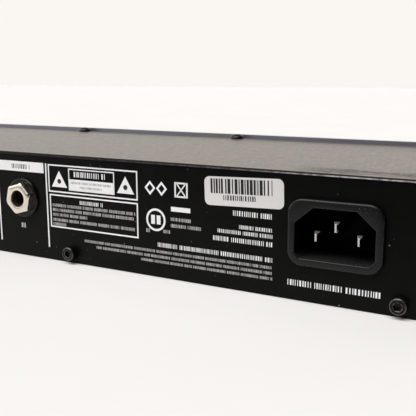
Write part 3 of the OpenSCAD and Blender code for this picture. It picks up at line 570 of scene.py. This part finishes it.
# right-aligned legends
greek(white, -35.8, -21.3, 25.85, 27.6, 51, rear3, INK, (6, 6))
greek(white, -33.5, -21.3, 21.5, 22.8, 52, rear3, INK, (5, 5))
greek(white, -41.7, -21.3, 19.45, 20.75, 53, rear3, INK, (4, 8))
greek(white, -43.4, -21.3, 16.6, 18.2, 54, rear3, INK, (2, 10))
greek(white, -66.2, -21.1, 11.35, 12.9, 55, rear3, INK, (5, 12))
greek(grey, -99.9, -21.2, 9.05, 10.05, 56, rear3, INK, (3, 11))
greek(grey, -94.2, -21.1, 7.15, 8.15, 57, rear3, INK, (3, 11))
greek(grey, -73.6, -21.1, 5.3, 6.25, 58, rear3, INK, (3, 11))
greek(white, -15.7, 14.8, 4.8, 6.75, 59, rear3, INK, (4, 9))

# the sections to the left, outside the picture: header strips, separators and legends
def s_of(x):
    return -174.0 - x


for x0, x1, k in ((-27.5, 22.5, 1), (24.5, 46.5, 2), (48.5, 90.5, 3), (94.5, 147.0, 4), (149.0, 203.0, 5)):
    a, b = s_of(x1), s_of(x0)
    white.rect(a, b, 34.5, 38.55, rear3, *INK)
    c = (a + b) / 2
    w = min(12.0, (b - a) * 0.4)
    greek(dark, c - w / 2, c + w / 2, 35.55, 37.4, 70 + k, rear3, INK2, (4, 7))
    if k < 5:
        white.rect(a - 1.15, a - 0.55, 4.9, 38.5, rear3, *INK)
for x, k in ((108, 1), (133, 2), (163, 3), (188, 4), (-15, 5), (10, 6), (58, 7), (78, 8), (35, 9)):
    c = s_of(x)
    z = 11.5 if k < 5 else 9.4
    w = 4.2 if k < 9 else 3.4
    greek(white, c - w / 2, c + w / 2, z, z + 1.7, 80 + k, rear3, INK, (9, 9))
for x in (120.5, 175.5):
    c = s_of(x)
    white.rect(c - 3.4, c + 3.4, 6.2, 6.5, rear3, *INK)
    greek(white, c - 3.0, c + 3.0, 7.1, 8.3, int(x), rear3, INK, (9, 9))

white.make("rear_print_white", "white_ink")
grey.make("rear_print_light", "grey_ink")
dark.make("rear_print_dark", "dark_ink")
dim.make("rear_print_faded", "mid_ink")

# ------------------------------------------------------------------ serial label print
lc = (-32.1, 34.05)
ang = math.radians(1.9)


def label3(u, v, d):
    uu = lc[0] + u * math.cos(ang) - v * math.sin(ang)
    vv = lc[1] + u * math.sin(ang) + v * math.cos(ang)
    return rear3(uu, vv, d)


LINK = (0.1, 0.15)
code, code2, digits = Build(), Build(), Build()
rnd = random.Random(77)
u = -12.2
while u < 11.0:
    w = rnd.choice((0.42, 0.5, 0.75, 1.05))
    (code if rnd.random() < 0.85 else code2).rect(u, min(u + w, 11.3), -0.75, 4.25, label3, *LINK)
    u += w + rnd.choice((0.34, 0.4, 0.6, 0.85))
code.make("label_bars", "dark_ink")
code2.make("label_bars_faded", "mid_ink")
greek(digits, -7.4, 5.2, -3.0, -1.25, 91, label3, LINK, (20, 20))
digits.make("label_legend", "dark_ink")

# ------------------------------------------------------------------ detailed pieces
def planes_poly(pts):
    """Half-planes (nx, nz, d) of a convex outline given counter-clockwise."""
    out = []
    for i in range(len(pts)):
        (x0, z0), (x1, z1) = pts[i], pts[(i + 1) % len(pts)]
        nx, nz = z1 - z0, x0 - x1
        l = math.hypot(nx, nz)
        out.append((nx / l, nz / l, (nx * x0 + nz * z0) / l))
    return out


def planes_rr(w, h, r, k=10):
    out = []
    for q in range(4):
        for i in range(k + 1):
            a = math.pi / 2 * (q + i / k)
            n = (math.cos(a), math.sin(a))
            sxx = 1 if q in (0, 3) else -1
            szz = 1 if q in (0, 1) else -1
            out.append((n[0], n[1], n[0] * sxx * (w / 2 - r) + n[1] * szz * (h / 2 - r) + r))
    return out


def planes_hex(af, a):
    return [(math.cos(a + i * math.pi / 3), math.sin(a + i * math.pi / 3), af / 2) for i in range(6)]


def radial(planes, t, angs):
    """Points of a convex outline, grown by t, in each of the directions angs."""
    pts = []
    for a in angs:
        c, s = math.cos(a), math.sin(a)
        r = min((d + t) / (nx * c + nz * s) for nx, nz, d in planes if nx * c + nz * s > 1e-6)
        pts.append((r * c, r * s))
    return pts


def circ(r, angs):
    return [(r * math.cos(a), r * math.sin(a)) for a in angs]


def corner_angs(planes_pts, n):
    """n even directions plus the directions of the given corners."""
    a = [2 * math.pi * i / n for i in range(n)]
    for x, z in planes_pts:
        t = math.atan2(z, x) % (2 * math.pi)
        a += [(t - 0.012) % (2 * math.pi), t, (t + 0.012) % (2 * math.pi)]
    a = sorted(a)
    out = [a[0]]
    for t in a[1:]:
        if t - out[-1] > 0.004:
            out.append(t)
    if out[0] + 2 * math.pi - out[-1] < 0.004:
        out.pop()
    return out


# mains inlet: bezel with a rounded rim, chamfered cavity with a softened lip
cav = [(13, -6.6), (13, 2.95), (7, 8.25), (-7, 8.25), (-13, 2.95), (-13, -6.6), (-11.2, -8.4), (11.2, -8.4)]
P_cav, P_out, P_body = planes_poly(cav), planes_rr(31, 22, 5, 12), planes_rr(27.2, 19.8, 1.3, 4)
ang_in = corner_angs(cav, 144)


def inlet_loop(planes, t, y):
    return [(IX + x * MM, YR + y * MM, IZ + z * MM) for x, z in radial(planes, t, ang_in)]


inl = Build()
inl.loft([inlet_loop(P_body, -0.4, -22.0), inlet_loop(P_body, 0, -21.6), inlet_loop(P_body, 0, -0.1), inlet_loop(P_out, -0.15, -0.08),
          inlet_loop(P_out, 0, 0.04), inlet_loop(P_out, 0, 1.25), inlet_loop(P_out, -0.05, 1.5), inlet_loop(P_out, -0.17, 1.72),
          inlet_loop(P_out, -0.35, 1.88), inlet_loop(P_out, -0.6, 1.97), inlet_loop(P_out, -0.9, 2.0),
          inlet_loop(P_cav, 0.5, 2.0), inlet_loop(P_cav, 0.25, 1.96), inlet_loop(P_cav, 0.08, 1.84), inlet_loop(P_cav, 0, 1.62),
          inlet_loop(P_cav, 0, 0.2), inlet_loop(P_cav, -0.12, -15.6), inlet_loop(P_cav, -0.5, -16.0)])
inlet = inl.make("inlet_shell", "inlet", smooth=40)
inlet.data.materials.append(M["inlet_inner"])
# the cavity and the bezel's outer sides next to the panel take the darker cavity finish: painted shade
for pgn in inlet.data.polygons:
    cc = pgn.center
    if cc.y < YR + 1.7 * MM and abs(cc.x - IX) < 13.3 * MM and abs(cc.z - IZ) < 8.6 * MM and cc.y > YR - 16.2 * MM:
        pgn.material_index = 1
    elif abs(pgn.normal.y) < 0.3 and cc.y < YR + 1.3 * MM and cc.y > YR:
        pgn.material_index = 1
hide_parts("mains_inlet")

# blades with long chamfered tips
bl = Build()
for bx, bz, tip in ((7.0, -1.9, -1.3), (-7.0, -1.9, -1.3), (0.0, 2.1, 0.3)):
    def bloop(w_, h_, y_, dz=0.0, bx=bx, bz=bz, tip=tip):
        c_ = 0.12 * min(w_, h_)
        o_ = [(w_ / 2, -h_ / 2 + c_), (w_ / 2, h_ / 2 - c_), (w_ / 2 - c_, h_ / 2), (-w_ / 2 + c_, h_ / 2), (-w_ / 2, h_ / 2 - c_),
              (-w_ / 2, -h_ / 2 + c_), (-w_ / 2 + c_, -h_ / 2), (w_ / 2 - c_, -h_ / 2)]
        return [(IX + (bx + a_) * MM, YR + (tip + y_) * MM, IZ + (bz + b_ + dz) * MM) for a_, b_ in o_]
    bl.loft([bloop(1.98, 3.96, -20.0), bloop(2.0, 4.0, -19.8), bloop(2.0, 4.0, -1.62), bloop(1.93, 3.93, -1.46), bloop(1.2, 3.05, -0.5),
             bloop(0.78, 2.6, -0.08), bloop(0.6, 2.4, 0.0)])
    bl.rect(bx - 0.4, bx + 0.4, bz - 2.0, bz + 2.0, lambda u_, v_, d_: (IX + u_ * MM, YR + d_ * MM, IZ + v_ * MM), -29.9, tip - 19.9)
o = bl.make("inlet_blade_set", "blade", smooth=25)
o.data.materials.append(M["blade_tip"])
# tip faces that face out or up take the lighter finish: painted light
for pgn in o.data.polygons:
    tipy = 0.3 if abs(pgn.center.x - IX) < 4 * MM else -1.3
    if pgn.center.y > YR + (tipy - 1.6) * MM and (pgn.normal.y > 0.8 or pgn.normal.z > 0.5):
        pgn.material_index = 1
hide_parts("inlet_blades")


# socket screws: turned head with a softened rim and a six-sided recess
BUTTON = [(3.1, 0.12), (3.1, 0.42), (3.06, 0.62), (2.95, 0.86), (2.74, 1.16), (2.42, 1.46), (2.06, 1.68), (1.78, 1.82), (1.66, 1.9)]
CAP = [(2.75, 0.12), (2.75, 2.2), (2.735, 2.38), (2.68, 2.58), (2.57, 2.76), (2.41, 2.89), (2.24, 2.97), (2.08, 3.0), (1.72, 3.0)]


def socket_screw(bld, base, axis, rot=0.0, head=BUTTON, deep=1.25, L=5.0, rs=1.25):
    axis = Vector(axis).normalized()
    e1 = axis.orthogonal().normalized()
    e2 = axis.cross(e1)
    hexp = planes_hex(2.5, rot)
    cor = [(math.cos(rot + math.pi / 6 + i * math.pi / 3), math.sin(rot + math.pi / 6 + i * math.pi / 3)) for i in range(6)]
    angs = corner_angs(cor, 48)
    R, H = head[0][0], head[-1][1]

    def lp(pts, h):
        return [Vector(base) + (e1 * x + e2 * y + axis * h) * MM for x, y in pts]

    prof = [(rs - 0.3, -L), (rs, -L + 0.35), (rs, -0.02), (R - 0.12, 0.0)] + head
    loops = [lp(circ(r, angs), h) for r, h in prof]
    loops += [lp(circ(1.55, angs), H - 0.02), lp(radial(hexp, 0, angs), H - 0.2), lp(radial(hexp, 0, angs), H - deep), lp(circ(0.35, angs), H - deep - 0.3)]
    bld.loft(loops)


cs = Build()
for x in (-186.2, -93.1, 0.0, 93.1, 186.2):
    socket_screw(cs, (x * MM, YF + 3.6 * MM, 42.4 * MM), (0, 0, 1), rot=x * 0.37)
for sgn in (-1, 1):
    for y in (YF + 22 * MM, YR - 22 * MM):
        socket_screw(cs, (sgn * 217 * MM, y, 7.5 * MM), (sgn, 0, 0), rot=y * 900)
o = cs.make("cover_screw_set", "black_screw", smooth=38)
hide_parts("cover_screws")
rs_ = Build()
for k, x in enumerate((-194.8, -67.5, 67.5, 194.8)):
    socket_screw(rs_, (x * MM, YR, 4.0 * MM), (0, 1, 0), rot=0.3 + 0.5 * k, head=CAP, deep=1.5)
o = rs_.make("rear_screw_set", "rear_screw", smooth=38)
o.data.materials.append(M["screw_edge"])
# the outer rim and the socket's edge take the lighter finish: painted highlights
for pgn in o.data.polygons:
    rad = min(math.hypot(pgn.center.x / MM - x, pgn.center.z / MM - 4.0) for x in (-194.8, -67.5, 67.5, 194.8))
    dep = (pgn.center.y - YR) / MM
    if (2.3 < rad < 2.74 and dep > 2.5) or (1.3 < rad < 1.62 and dep > 2.75):
        pgn.material_index = 1
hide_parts("rear_panel_screws")

# jack washers, nuts and contact linings
JACKS = (-43.4, 108.0, 133.0, 163.0, 188.0)
JZ = 23.9
wa, nu, mo, li, sp = Build(), Build(), Build(), Build(), Build()
a72 = [2 * math.pi * i / 72 for i in range(72)]


def at_jack(x, pts, y):
    return [((x + px) * MM, YR + y * MM, (JZ + pz) * MM) for px, pz in pts]


for k, x in enumerate(JACKS):
    wa.torus([at_jack(x, circ(r, a72), y) for r, y in ((4.62, 0.02), (7.75, 0.0), (7.95, 0.1), (8.0, 0.3), (7.97, 0.62), (7.85, 0.86),
                                                        (7.6, 0.98), (7.3, 1.0), (4.8, 1.0), (4.62, 0.9))])
    rot = math.radians(44 - 13 * k) + math.pi / 6
    hp = planes_hex(11.4, rot)
    cor = [(math.cos(rot + math.pi / 6 + i * math.pi / 3), math.sin(rot + math.pi / 6 + i * math.pi / 3)) for i in range(6)]
    angs = corner_angs(cor, 96)

    def cone(t, rmax):
        """Hexagon outline cut by the chamfer cone."""
        out = []
        for a, (px, pz) in zip(angs, radial(hp, t, angs)):
            r = math.hypot(px, pz)
            f = min(1.0, rmax / r)
            out.append((px * f, pz * f))
        return out

    nu.torus([at_jack(x, pts, y) for pts, y in (
        (circ(4.62, angs), 1.02), (cone(-0.25, 6.1), 1.0), (cone(0, 6.35), 1.12), (cone(0, 6.6), 1.3), (cone(0, 6.6), 3.05),
        (cone(0, 6.5), 3.2), (cone(0, 6.38), 3.32), (cone(-0.03, 6.24), 3.43), (cone(-0.1, 6.1), 3.53), (cone(-0.24, 5.95), 3.6),
        (circ(3.62, angs), 3.6), (circ(3.42, angs), 3.54), (circ(3.32, angs), 3.38), (circ(3.3, angs), 3.1), (circ(3.3, angs), 2.96),
        (circ(4.58, angs), 2.94))])
    mo.torus([at_jack(x, circ(r, a72), y) for r, y in ((3.19, 2.86), (3.22, 2.9), (3.25, 2.86), (3.25, -1.0), (3.22, -1.05), (3.19, -1.0))])
    li.torus([at_jack(x, circ(r, a72), y) for r, y in ((3.2, -1.3), (3.23, -1.24), (3.26, -1.3), (3.26, -20.0), (3.23, -20.05), (3.2, -20.0))])
    # bowed contact leaf at the far end
    leaf = []
    for i in range(9):
        t = i / 8.0
        yy = -22.5 + 6.0 * t
        zz = 3.0 - 1.1 * math.sin(math.pi * t)
        leaf.append((yy, zz))
    pts2 = leaf + [(yy, zz - 0.25) for yy, zz in reversed(leaf)]
    b0 = len(sp.v)
    sp.prism(pts2, lambda u_, v_, d_, x=x: ((x + d_) * MM, YR + u_ * MM, (JZ + v_) * MM), -1.0, 1.0)
o = wa.make("jack_washer_set", "washer", smooth=50)
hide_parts("jack_washers")
o = nu.make("jack_nut_set", "nickel", smooth=30)
o.data.materials.append(M["mouth"])
# the nut's bore takes the dark brown finish: painted shade inside the hole
for pgn in o.data.polygons:
    rad = min(math.hypot(pgn.center.x / MM - x, pgn.center.z / MM - JZ) for x in JACKS)
    if rad < 3.45:
        pgn.material_index = 1
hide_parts("jack_nuts")
# the bushing's mouth is dark brown: painted shade inside the bore
o = mo.make("jack_mouth_rings", "mouth", smooth=50)
o = li.make("jack_contact_linings", "phenolic", smooth=50)
o = sp.make("jack_contact_leaves", "gold", smooth=30)

# ------------------------------------------------------------------ front panel
fw, fg = Build(), Build()
kn_lo, kn_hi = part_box("input_knob")
CZ = (kn_lo.z + kn_hi.z) / 2 / MM
small = {"input": -160, "mix": -124, "time": -26, "feedback": 6, "decay": 190}
sel = {"effect_selector": -62, "reverb_selector": 152}


def tick(bld, cx, cz_, a, r0, r1, w, to3, d=INK):
    ca, sa = math.sin(a), math.cos(a)      # a from straight up, clockwise seen from the front
    nx, nz = sa, -ca
    p = [(cx + ca * r0 + nx * w / 2, cz_ + sa * r0 + nz * w / 2), (cx + ca * r0 - nx * w / 2, cz_ + sa * r0 - nz * w / 2),
         (cx + ca * r1 - nx * w / 2, cz_ + sa * r1 - nz * w / 2), (cx + ca * r1 + nx * w / 2, cz_ + sa * r1 + nz * w / 2)]
    bld.prism(p, to3, *d)


for k, (n, x) in enumerate(small.items()):
    for i in range(11):
        a = math.radians(-150 + 30 * i)
        tick(fw, x, CZ, a, 8.6, 9.9 if i % 5 == 0 else 9.4, 0.42, front3)
    greek(fw, x - 4.2, x + 4.2, 5.4, 7.1, 200 + k, front3, INK, (9, 9))
for k, (n, x) in enumerate(sel.items()):
    for i in range(16):
        a = 2 * math.pi * i / 16
        tick(fw, x, CZ, a, 10.8, 12.0, 0.42, front3)
    greek(fw, x - 8.0, x + 8.0, 4.6, 6.3, 210 + k, front3, INK, (4, 6))
    for i in range(8):
        zz = 33.6 - i * 3.3
        side = 1 if n == "effect_selector" else -1
        x0 = x - 22.5 if side > 0 else x + 14.0
        greek(fg, x0, x0 + 8.0, zz, zz + 1.2, 300 + 10 * k + i, front3, INK, (9, 9))
        fw.rect(x0 + 8.8, x0 + 9.6, zz + 0.4, zz + 0.8, front3, *INK)
for i, zz in enumerate((11.1, 18.3, 25.4, 32.6)):
    greek(fg, -149.6, -147.0, zz - 0.6, zz + 0.6, 330 + i, front3, INK, (9, 9))
greek(fw, -145.2, -137.8, 5.4, 7.1, 221, front3, INK, (9, 9))
greek(fw, 34.0, 42.0, 12.6, 14.3, 222, front3, INK, (9, 9))
for k, (x, z) in enumerate(((100, 28.4), (100, 15.3), (115, 28.4), (115, 15.3))):
    greek(fg, x - 3.4, x + 3.4, z - 5.6, z - 4.3, 230 + k, front3, INK, (9, 9))
frame_rect(fg, 49.5, 124.5, 6.6, 37.0, 0.3, front3)
greek(fw, 66.5, 77.5, 8.6, 10.1, 240, front3, INK, (9, 9))
frame_rect(fg, -92.0, 21.0, 3.2, 40.4, 0.3, front3)
frame_rect(fg, 130.5, 203.5, 3.2, 40.4, 0.3, front3)
greek(fw, -89.5, -64.0, 37.0, 38.9, 250, front3, INK, (6, 6))
greek(fw, 133.0, 153.0, 37.0, 38.9, 251, front3, INK, (6, 6))
greek(fg, -17.0, 19.0, 36.6, 38.2, 252, front3, INK, (6, 9))
fw.make("front_print_white", "white_ink")
fg.make("front_print_light", "grey_ink")

# knobs: fluted grip, softened crown, skirt, white pointer over the crown and down the grip
def knob_loops(x, R, n):
    N = n * 16
    angs = [2 * math.pi * i / N for i in range(N)]
    L = 13.5

    def flute(rho, depth, a):
        """Grip outline: rounded flutes between rounded ribs."""
        ph = (a * n / (2 * math.pi)) % 1.0
        t = math.cos(2 * math.pi * ph)
        return rho - depth * max(0.0, -t) ** 0.8 if t < 0 else rho - 0.06 * (1 - t)

    def lp(rho, d, depth=0.0):
        # first angle points up, so a rib carries the pointer
        return [((x + (flute(rho, depth, a) if depth else rho) * math.sin(a)) * MM, YPF - d * MM,
                 (CZ + (flute(rho, depth, a) if depth else rho) * math.cos(a)) * MM) for a in angs]

    return [lp(2.7, 9.9), lp(3.03, 9.9), lp(3.03, 1.3), lp(3.3, 1.02), lp(R - 0.2, 1.0), lp(R - 0.05, 1.06), lp(R, 1.22), lp(R, 2.05),
            lp(R - 0.06, 2.25), lp(R - 0.3, 2.55), lp(R - 0.5, 2.8), lp(R - 0.53, 3.0), lp(R - 0.55, 3.3, 0.3), lp(R - 0.56, 3.7, 0.62),
            lp(R - 0.60, 4.3, 0.78), lp(R - 0.78, 9.0, 0.78), lp(R - 0.93, 12.6, 0.78), lp(R - 1.0, 13.2, 0.72), lp(R - 1.12, 13.6, 0.6),
            lp(R - 1.32, 13.95, 0.45), lp(R - 1.6, 14.22, 0.28), lp(R - 1.95, 14.38, 0.12), lp(R - 2.3, 14.46), lp(R - 2.8, 14.5),
            lp(R - 3.4, 14.42), lp(1.2, 14.3)]


for n, x in list(small.items()) + list(sel.items()):
    R, k = (7.0, 18) if n in small else (9.0, 24)
    kb = Build()
    kb.loft(knob_loops(x, R, k))
    ko = kb.make(n + "_knob_moulding", "knob", body=n + "_control", smooth=34)
    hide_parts(n + "_knob")
    # pointer strip: follows the grip up and bends over the crown
    prof = [(R - 0.60, 4.6), (R - 0.78, 9.0), (R - 0.93, 12.6), (R - 1.0, 13.2), (R - 1.12, 13.6), (R - 1.32, 13.95), (R - 1.6, 14.22),
            (R - 1.95, 14.38), (R - 2.3, 14.46), (R - 2.8, 14.5)]
    outp, inp = [], []
    for i, (r_, d_) in enumerate(prof):
        a_, b_ = prof[max(0, i - 1)], prof[min(len(prof) - 1, i + 1)]
        tx, ty = b_[0] - a_[0], b_[1] - a_[1]
        l_ = math.hypot(tx, ty)
        nx_, ny_ = ty / l_, -tx / l_
        outp.append((r_ + nx_ * 0.05, d_ + ny_ * 0.05))
        inp.append((r_ - nx_ * 0.12, d_ - ny_ * 0.12))
    pb = Build()
    pb.prism(outp + inp[::-1], lambda r_, d_, w_, x=x: ((x + w_) * MM, YPF - d_ * MM, (CZ + r_) * MM), -0.38, 0.38)
    pb.make(n + "_pointer", "white_ink", body=n + "_control", smooth=30)

# push keys: soft-edged caps on the same stems
KEYS = {"tap": (38.0, 21.85), "preset_up": (100.0, 28.4), "preset_down": (100.0, 15.3), "store": (115.0, 28.4), "bypass": (115.0, 15.3)}


def rr_loop(w, h, r, cx_, cz_, d_, k=7):
    pts = []
    for q in range(4):
        sxx, szz = (1, 1, -1, -1)[q], (1, -1, -1, 1)[q]
        for i in range(k + 1):
            a = math.pi / 2 * (i / k)
            if q % 2 == 0:
                a = math.pi / 2 - a
            px, pz = sxx * (w / 2 - r + r * math.cos(a)), szz * (h / 2 - r + r * math.sin(a))
            pts.append(((cx_ + px) * MM, YPF - d_ * MM, (cz_ + pz) * MM))
    return pts


for n, (x, z) in KEYS.items():
    kb = Build()
    kb.loft([rr_loop(3.0, 3.0, 1.4, x, z, -7.3), rr_loop(3.2, 3.2, 1.5, x, z, -7.2), rr_loop(3.2, 3.2, 1.5, x, z, -5.2),
             rr_loop(10.0, 6.8, 0.8, x, z, -5.2), rr_loop(10.2, 7.0, 0.9, x, z, -5.1), rr_loop(10.2, 7.0, 0.9, x, z, -4.4),
             rr_loop(8.0, 5.0, 0.9, x, z, -4.35), rr_loop(8.0, 5.0, 0.9, x, z, 1.1), rr_loop(7.94, 4.94, 0.88, x, z, 1.32),
             rr_loop(7.78, 4.78, 0.82, x, z, 1.52), rr_loop(7.5, 4.5, 0.72, x, z, 1.68), rr_loop(7.1, 4.1, 0.6, x, z, 1.77),
             rr_loop(6.5, 3.5, 0.5, x, z, 1.8), rr_loop(5.4, 2.4, 0.4, x, z, 1.74), rr_loop(3.8, 1.0, 0.3, x, z, 1.7)])
    ko = kb.make(n + "_key_cap", "key", body=n + "_key", smooth=40)
    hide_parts(n + "_button")

# lit figures behind the window
seg = Build()
SEG = {"1": "bc", "2": "abged", "4": "fgbc", "8": "abcdefg", "0": "abcdef", "6": "afgedc"}


def figure(ch, cu, cv, w, h, t):
    place = {"a": (cu - w / 2 + t * 0.7, cu + w / 2 - t * 0.7, cv + h / 2 - t, cv + h / 2), "d": (cu - w / 2 + t * 0.7, cu + w / 2 - t * 0.7, cv - h / 2, cv - h / 2 + t),
             "g": (cu - w / 2 + t * 0.7, cu + w / 2 - t * 0.7, cv - t / 2, cv + t / 2),
             "f": (cu - w / 2, cu - w / 2 + t, cv + t * 0.4, cv + h / 2 - t * 0.7), "b": (cu + w / 2 - t, cu + w / 2, cv + t * 0.4, cv + h / 2 - t * 0.7),
             "e": (cu - w / 2, cu - w / 2 + t, cv - h / 2 + t * 0.7, cv - t * 0.4), "c": (cu + w / 2 - t, cu + w / 2, cv - h / 2 + t * 0.7, cv - t * 0.4)}
    for q in SEG[ch]:
        seg.rect(*place[q], front3, -4.75, -4.45)


figure("2", 66.8, CZ, 6.2, 11.0, 1.15)
figure("4", 77.2, CZ, 6.2, 11.0, 1.15)
seg.make("display_figures", "glow")

# ------------------------------------------------------------------ floor, lights, world
bm = bmesh.new()
bmesh.ops.create_grid(bm, x_segments=4, y_segments=4, size=4.0)
me = bpy.data.meshes.new("floor")
bm.to_mesh(me)
bm.free()
floor = bpy.data.objects.new("floor", me)
floor.location = (0, 0, -0.0002)
scene.collection.objects.link(floor)
fmat, fnt, fb = new_mat("floor_paper")
fv = coords(fnt)
fn = noise(fnt, fv, 9.0, 4.0, 0.6)
ff = noise(fnt, fv, 700.0, 2.0, 0.5)
fc = ramp(fnt, fn, [(0.3, (0.83, 0.825, 0.818)), (0.7, (0.85, 0.845, 0.838))])
fsep = fnt.nodes.new("ShaderNodeSeparateXYZ")
fnt.links.new(fv, fsep.inputs[0])
# towards the camera side the floor turns near black for all but camera rays: a painted shadow of the room and camera,
# seen only in reflections
fline = mathn(fnt, "SUBTRACT", fsep.outputs[1], mathn(fnt, "MULTIPLY", fsep.outputs[0], 0.35))
ffade = fnt.nodes.new("ShaderNodeMapRange")
ffade.interpolation_type = "SMOOTHSTEP"
for i, v in enumerate((YR + 0.055, YR + 0.245, 1.0, 0.02)):
    ffade.inputs[i + 1].default_value = v
fnt.links.new(fline, ffade.inputs[0])
flp = fnt.nodes.new("ShaderNodeLightPath")
fkeep = mathn(fnt, "MAXIMUM", ffade.outputs[0], flp.outputs["Is Camera Ray"])
fc = mix(fnt, fkeep, (0.01, 0.01, 0.01), fc)
fnt.links.new(fc, fb.inputs["Base Color"])
fb.inputs["Roughness"].default_value = 0.85
fb.inputs["Specular IOR Level"].default_value = 0.2
bump(fnt, fb, ff, 0.05, 0.0001)
me.materials.append(fmat)

world = bpy.data.worlds.new("studio")
scene.world = world
world.use_nodes = True
wn = world.node_tree
wn.nodes.clear()
wout = wn.nodes.new("ShaderNodeOutputWorld")
wseen = wn.nodes.new("ShaderNodeBackground")        # the plain backdrop
wseen.inputs[0].default_value = (0.955, 0.930, 0.890, 1)
wseen.inputs[1].default_value = 1.0
wlit = wn.nodes.new("ShaderNodeBackground")         # the room's soft light: white sweep behind, dim room in front
wtc = wn.nodes.new("ShaderNodeTexCoord")
wsep = wn.nodes.new("ShaderNodeSeparateXYZ")
wn.links.new(wtc.outputs["Generated"], wsep.inputs[0])
wmr = wn.nodes.new("ShaderNodeMapRange")
wmr.interpolation_type = "SMOOTHSTEP"
for i, v in enumerate((-0.45, 0.55, 1.75, 0.04)):
    wmr.inputs[i + 1].default_value = v
wn.links.new(mathn(wn, "ADD", mathn(wn, "MULTIPLY", wsep.outputs[1], 0.6), mathn(wn, "MULTIPLY", wsep.outputs[0], -0.8)), wmr.inputs[0])
wlit.inputs[0].default_value = (1.0, 0.972, 0.935, 1)
wup = maprange(wn, wsep.outputs[2], 0.12, 0.5, 1.0, 0.21)
wn.links.new(mathn(wn, "MULTIPLY", wmr.outputs[0], wup), wlit.inputs[1])
wlp = wn.nodes.new("ShaderNodeLightPath")
wmix = wn.nodes.new("ShaderNodeMixShader")
wn.links.new(wlp.outputs["Is Camera Ray"], wmix.inputs[0])
wn.links.new(wlit.outputs[0], wmix.inputs[1])
wn.links.new(wseen.outputs[0], wmix.inputs[2])
wn.links.new(wmix.outputs[0], wout.inputs[0])


def sun(name, towards, power, angle, color=(1, 1, 1)):
    """A far, wide softbox: light falls along towards."""
    ld = bpy.data.lights.new(name, "SUN")
    ld.energy = power
    ld.angle = math.radians(angle)
    ld.color = color
    ob = bpy.data.objects.new(name, ld)
    ob.rotation_euler = Vector(towards).to_track_quat("-Z", "Y").to_euler()
    ob.location = (0, 0, 2)
    scene.collection.objects.link(ob)
    return ob


sun("key", (-0.35, -0.55, -0.8), 2.4, 55, (1.0, 0.985, 0.965))
sun("top", (0.1, -0.3, -1.0), 1.02, 40, (1.0, 0.985, 0.965))
